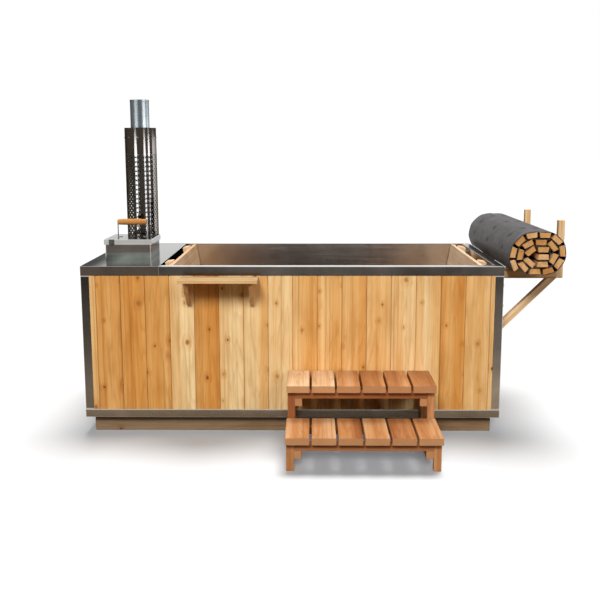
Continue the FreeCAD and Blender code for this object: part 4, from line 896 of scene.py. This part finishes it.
def seen_directly(tree):
    """1 for rays from the eye or by way of metal or glass, and 0 for light on the object."""
    path = add(tree, "LightPath")
    seen = math_node(tree, "MAXIMUM", path.outputs["Is Camera Ray"], path.outputs["Is Glossy Ray"])
    return math_node(tree, "MAXIMUM", seen, path.outputs["Is Transmission Ray"])


def backdrop():
    """A wide floor, white to the eye with the object's soft shadow, and greyer in what it throws back."""
    material, tree, shader = blank("floor_white")
    seen = seen_directly(tree)
    tree.links.new(ramp(tree, seen, [(0.0, FLOOR_BOUNCE), (1.0, FLOOR_SEEN)]), shader.inputs["Base Color"])
    shader.inputs["Roughness"].default_value = 0.9
    shader.inputs["Specular IOR Level"].default_value = 0.0
    strength = math_node(tree, "MULTIPLY", seen, 0.1)
    glow = add(tree, "Emission", {"Color": FLOOR_GLOW, "Strength": strength})
    both = add(tree, "AddShader", {0: shader.outputs[0], 1: glow.outputs[0]})
    tree.links.new(both.outputs[0], tree.nodes["Material Output"].inputs["Surface"])
    bm = bmesh.new()
    bmesh.ops.create_circle(bm, cap_ends=True, segments=96, radius=FLOOR_REACH)
    mesh = bpy.data.meshes.new("floor")
    bm.to_mesh(mesh)
    bm.free()
    mesh.materials.append(material)
    floor = bpy.data.objects.new("floor", mesh)
    floor.location.z = -FLOOR_DROP
    bpy.context.scene.collection.objects.link(floor)
    return floor


def world():
    """White to the eye and in reflections, and a plain soft fill on the object."""
    sky = bpy.data.worlds.new("studio")
    sky.use_nodes = True
    tree = sky.node_tree
    back = tree.nodes["Background"]
    tree.links.new(ramp(tree, seen_directly(tree), [(0.0, FILL), (1.0, 1.0)]), back.inputs["Color"])
    bpy.context.scene.world = sky


def hang(name, data, spot, aim):
    """Put a lamp at a spot, facing a point and out of the eye's sight."""
    made = bpy.data.objects.new(name, data)
    made.location = spot
    made.rotation_euler = (Vector(aim) - Vector(spot)).to_track_quat("-Z", "Y").to_euler()
    made.visible_camera = False
    bpy.context.scene.collection.objects.link(made)
    return made


def strip(name, receivers, bearing, width, heights, power, colour):
    """An upright soft box round the flue, on a bearing to the right of the front, for some pieces alone."""
    bottom, end = heights
    middle = (bottom + end) / 2
    data = bpy.data.lights.new(name, "AREA")
    data.shape = "RECTANGLE"
    data.size = width
    data.size_y = end - bottom
    data.energy = power
    data.color = colour
    turn = math.radians(bearing)
    spot = (FLUE_X + STRIP_AWAY * math.sin(turn), FLUE_Y - STRIP_AWAY * math.cos(turn), middle)
    hang(name, data, spot, (FLUE_X, FLUE_Y, middle)).light_linking.receiver_collection = receivers


def sun(name, spot, strength, angle, receivers):
    """A distant soft light from a spot's direction, for some pieces, which leaves no disc in the metal."""
    data = bpy.data.lights.new(name, "SUN")
    data.energy = strength
    data.angle = math.radians(angle)
    made = hang(name, data, spot, (0, 0, 0))
    made.visible_glossy = False
    made.light_linking.receiver_collection = receivers


def camera():
    """The photograph's view."""
    yaw, pitch, roll = (math.radians(turn) for turn in EYE_TURNS)
    ahead = Vector((math.sin(yaw), math.cos(yaw), 0))
    side = Vector((math.cos(yaw), -math.sin(yaw), 0))
    forward = math.cos(pitch) * ahead - math.sin(pitch) * Vector((0, 0, 1))
    above = math.sin(pitch) * ahead + math.cos(pitch) * Vector((0, 0, 1))
    right = math.cos(roll) * side + math.sin(roll) * above
    up = -math.sin(roll) * side + math.cos(roll) * above
    turn = Matrix((right, up, -forward)).transposed().to_4x4()
    data = bpy.data.cameras.new("camera")
    data.sensor_fit = "HORIZONTAL"
    data.sensor_width = 36.0
    data.lens = LENS
    made = bpy.data.objects.new("camera", data)
    made.matrix_world = Matrix.Translation(EYE) @ turn
    bpy.context.scene.collection.objects.link(made)
    bpy.context.scene.camera = made


# The floor has its own two suns, and the other suns leave it out
floor = backdrop()
ground = bpy.data.collections.new("ground")
ground.objects.link(floor)
off_ground = bpy.data.collections.new("off_ground")
off_ground.objects.link(floor)
off_ground.collection_objects[0].light_linking.link_state = "EXCLUDE"
world()
sun("key_sun", (-1.4, -6.2, 5.4), 2.8, 20, off_ground)
sun("right_sun", (4.5, -5.0, 4.0), 0.7, 30, off_ground)
sun("back_sun", (0.8, 2.8, 8.0), 2.2, 30, off_ground)
sun("back_fill", (0.0, 6.0, 2.6), 0.9, 40, off_ground)
sun("ground_front", (0.0, -6.0, 2.4), 2.9, 30, ground)
sun("ground_top", (1.0, 2.4, 8.0), 3.9, 30, ground)
strip("shield_left", polished, -27.2, 1.3, LOWER, 185, COOL)
strip("shield_middle", polished, 37.8, 1.0, LOWER, 115, COOL)
strip("shield_right", polished, 70.6, 1.0, LOWER, 115, COOL)
strip("shield_side", polished, 130, 5.2, LOWER, 240, COOL)
strip("flue_left", galvanised, -35, 3.4, WHOLE, 125, PLAIN)
strip("flue_right", galvanised, 65, 3.4, WHOLE, 225, PLAIN)
strip("flue_side", galvanised, 125, 5.0, WHOLE, 170, PLAIN)
camera()

bpy.context.scene.view_settings.view_transform = "Standard"
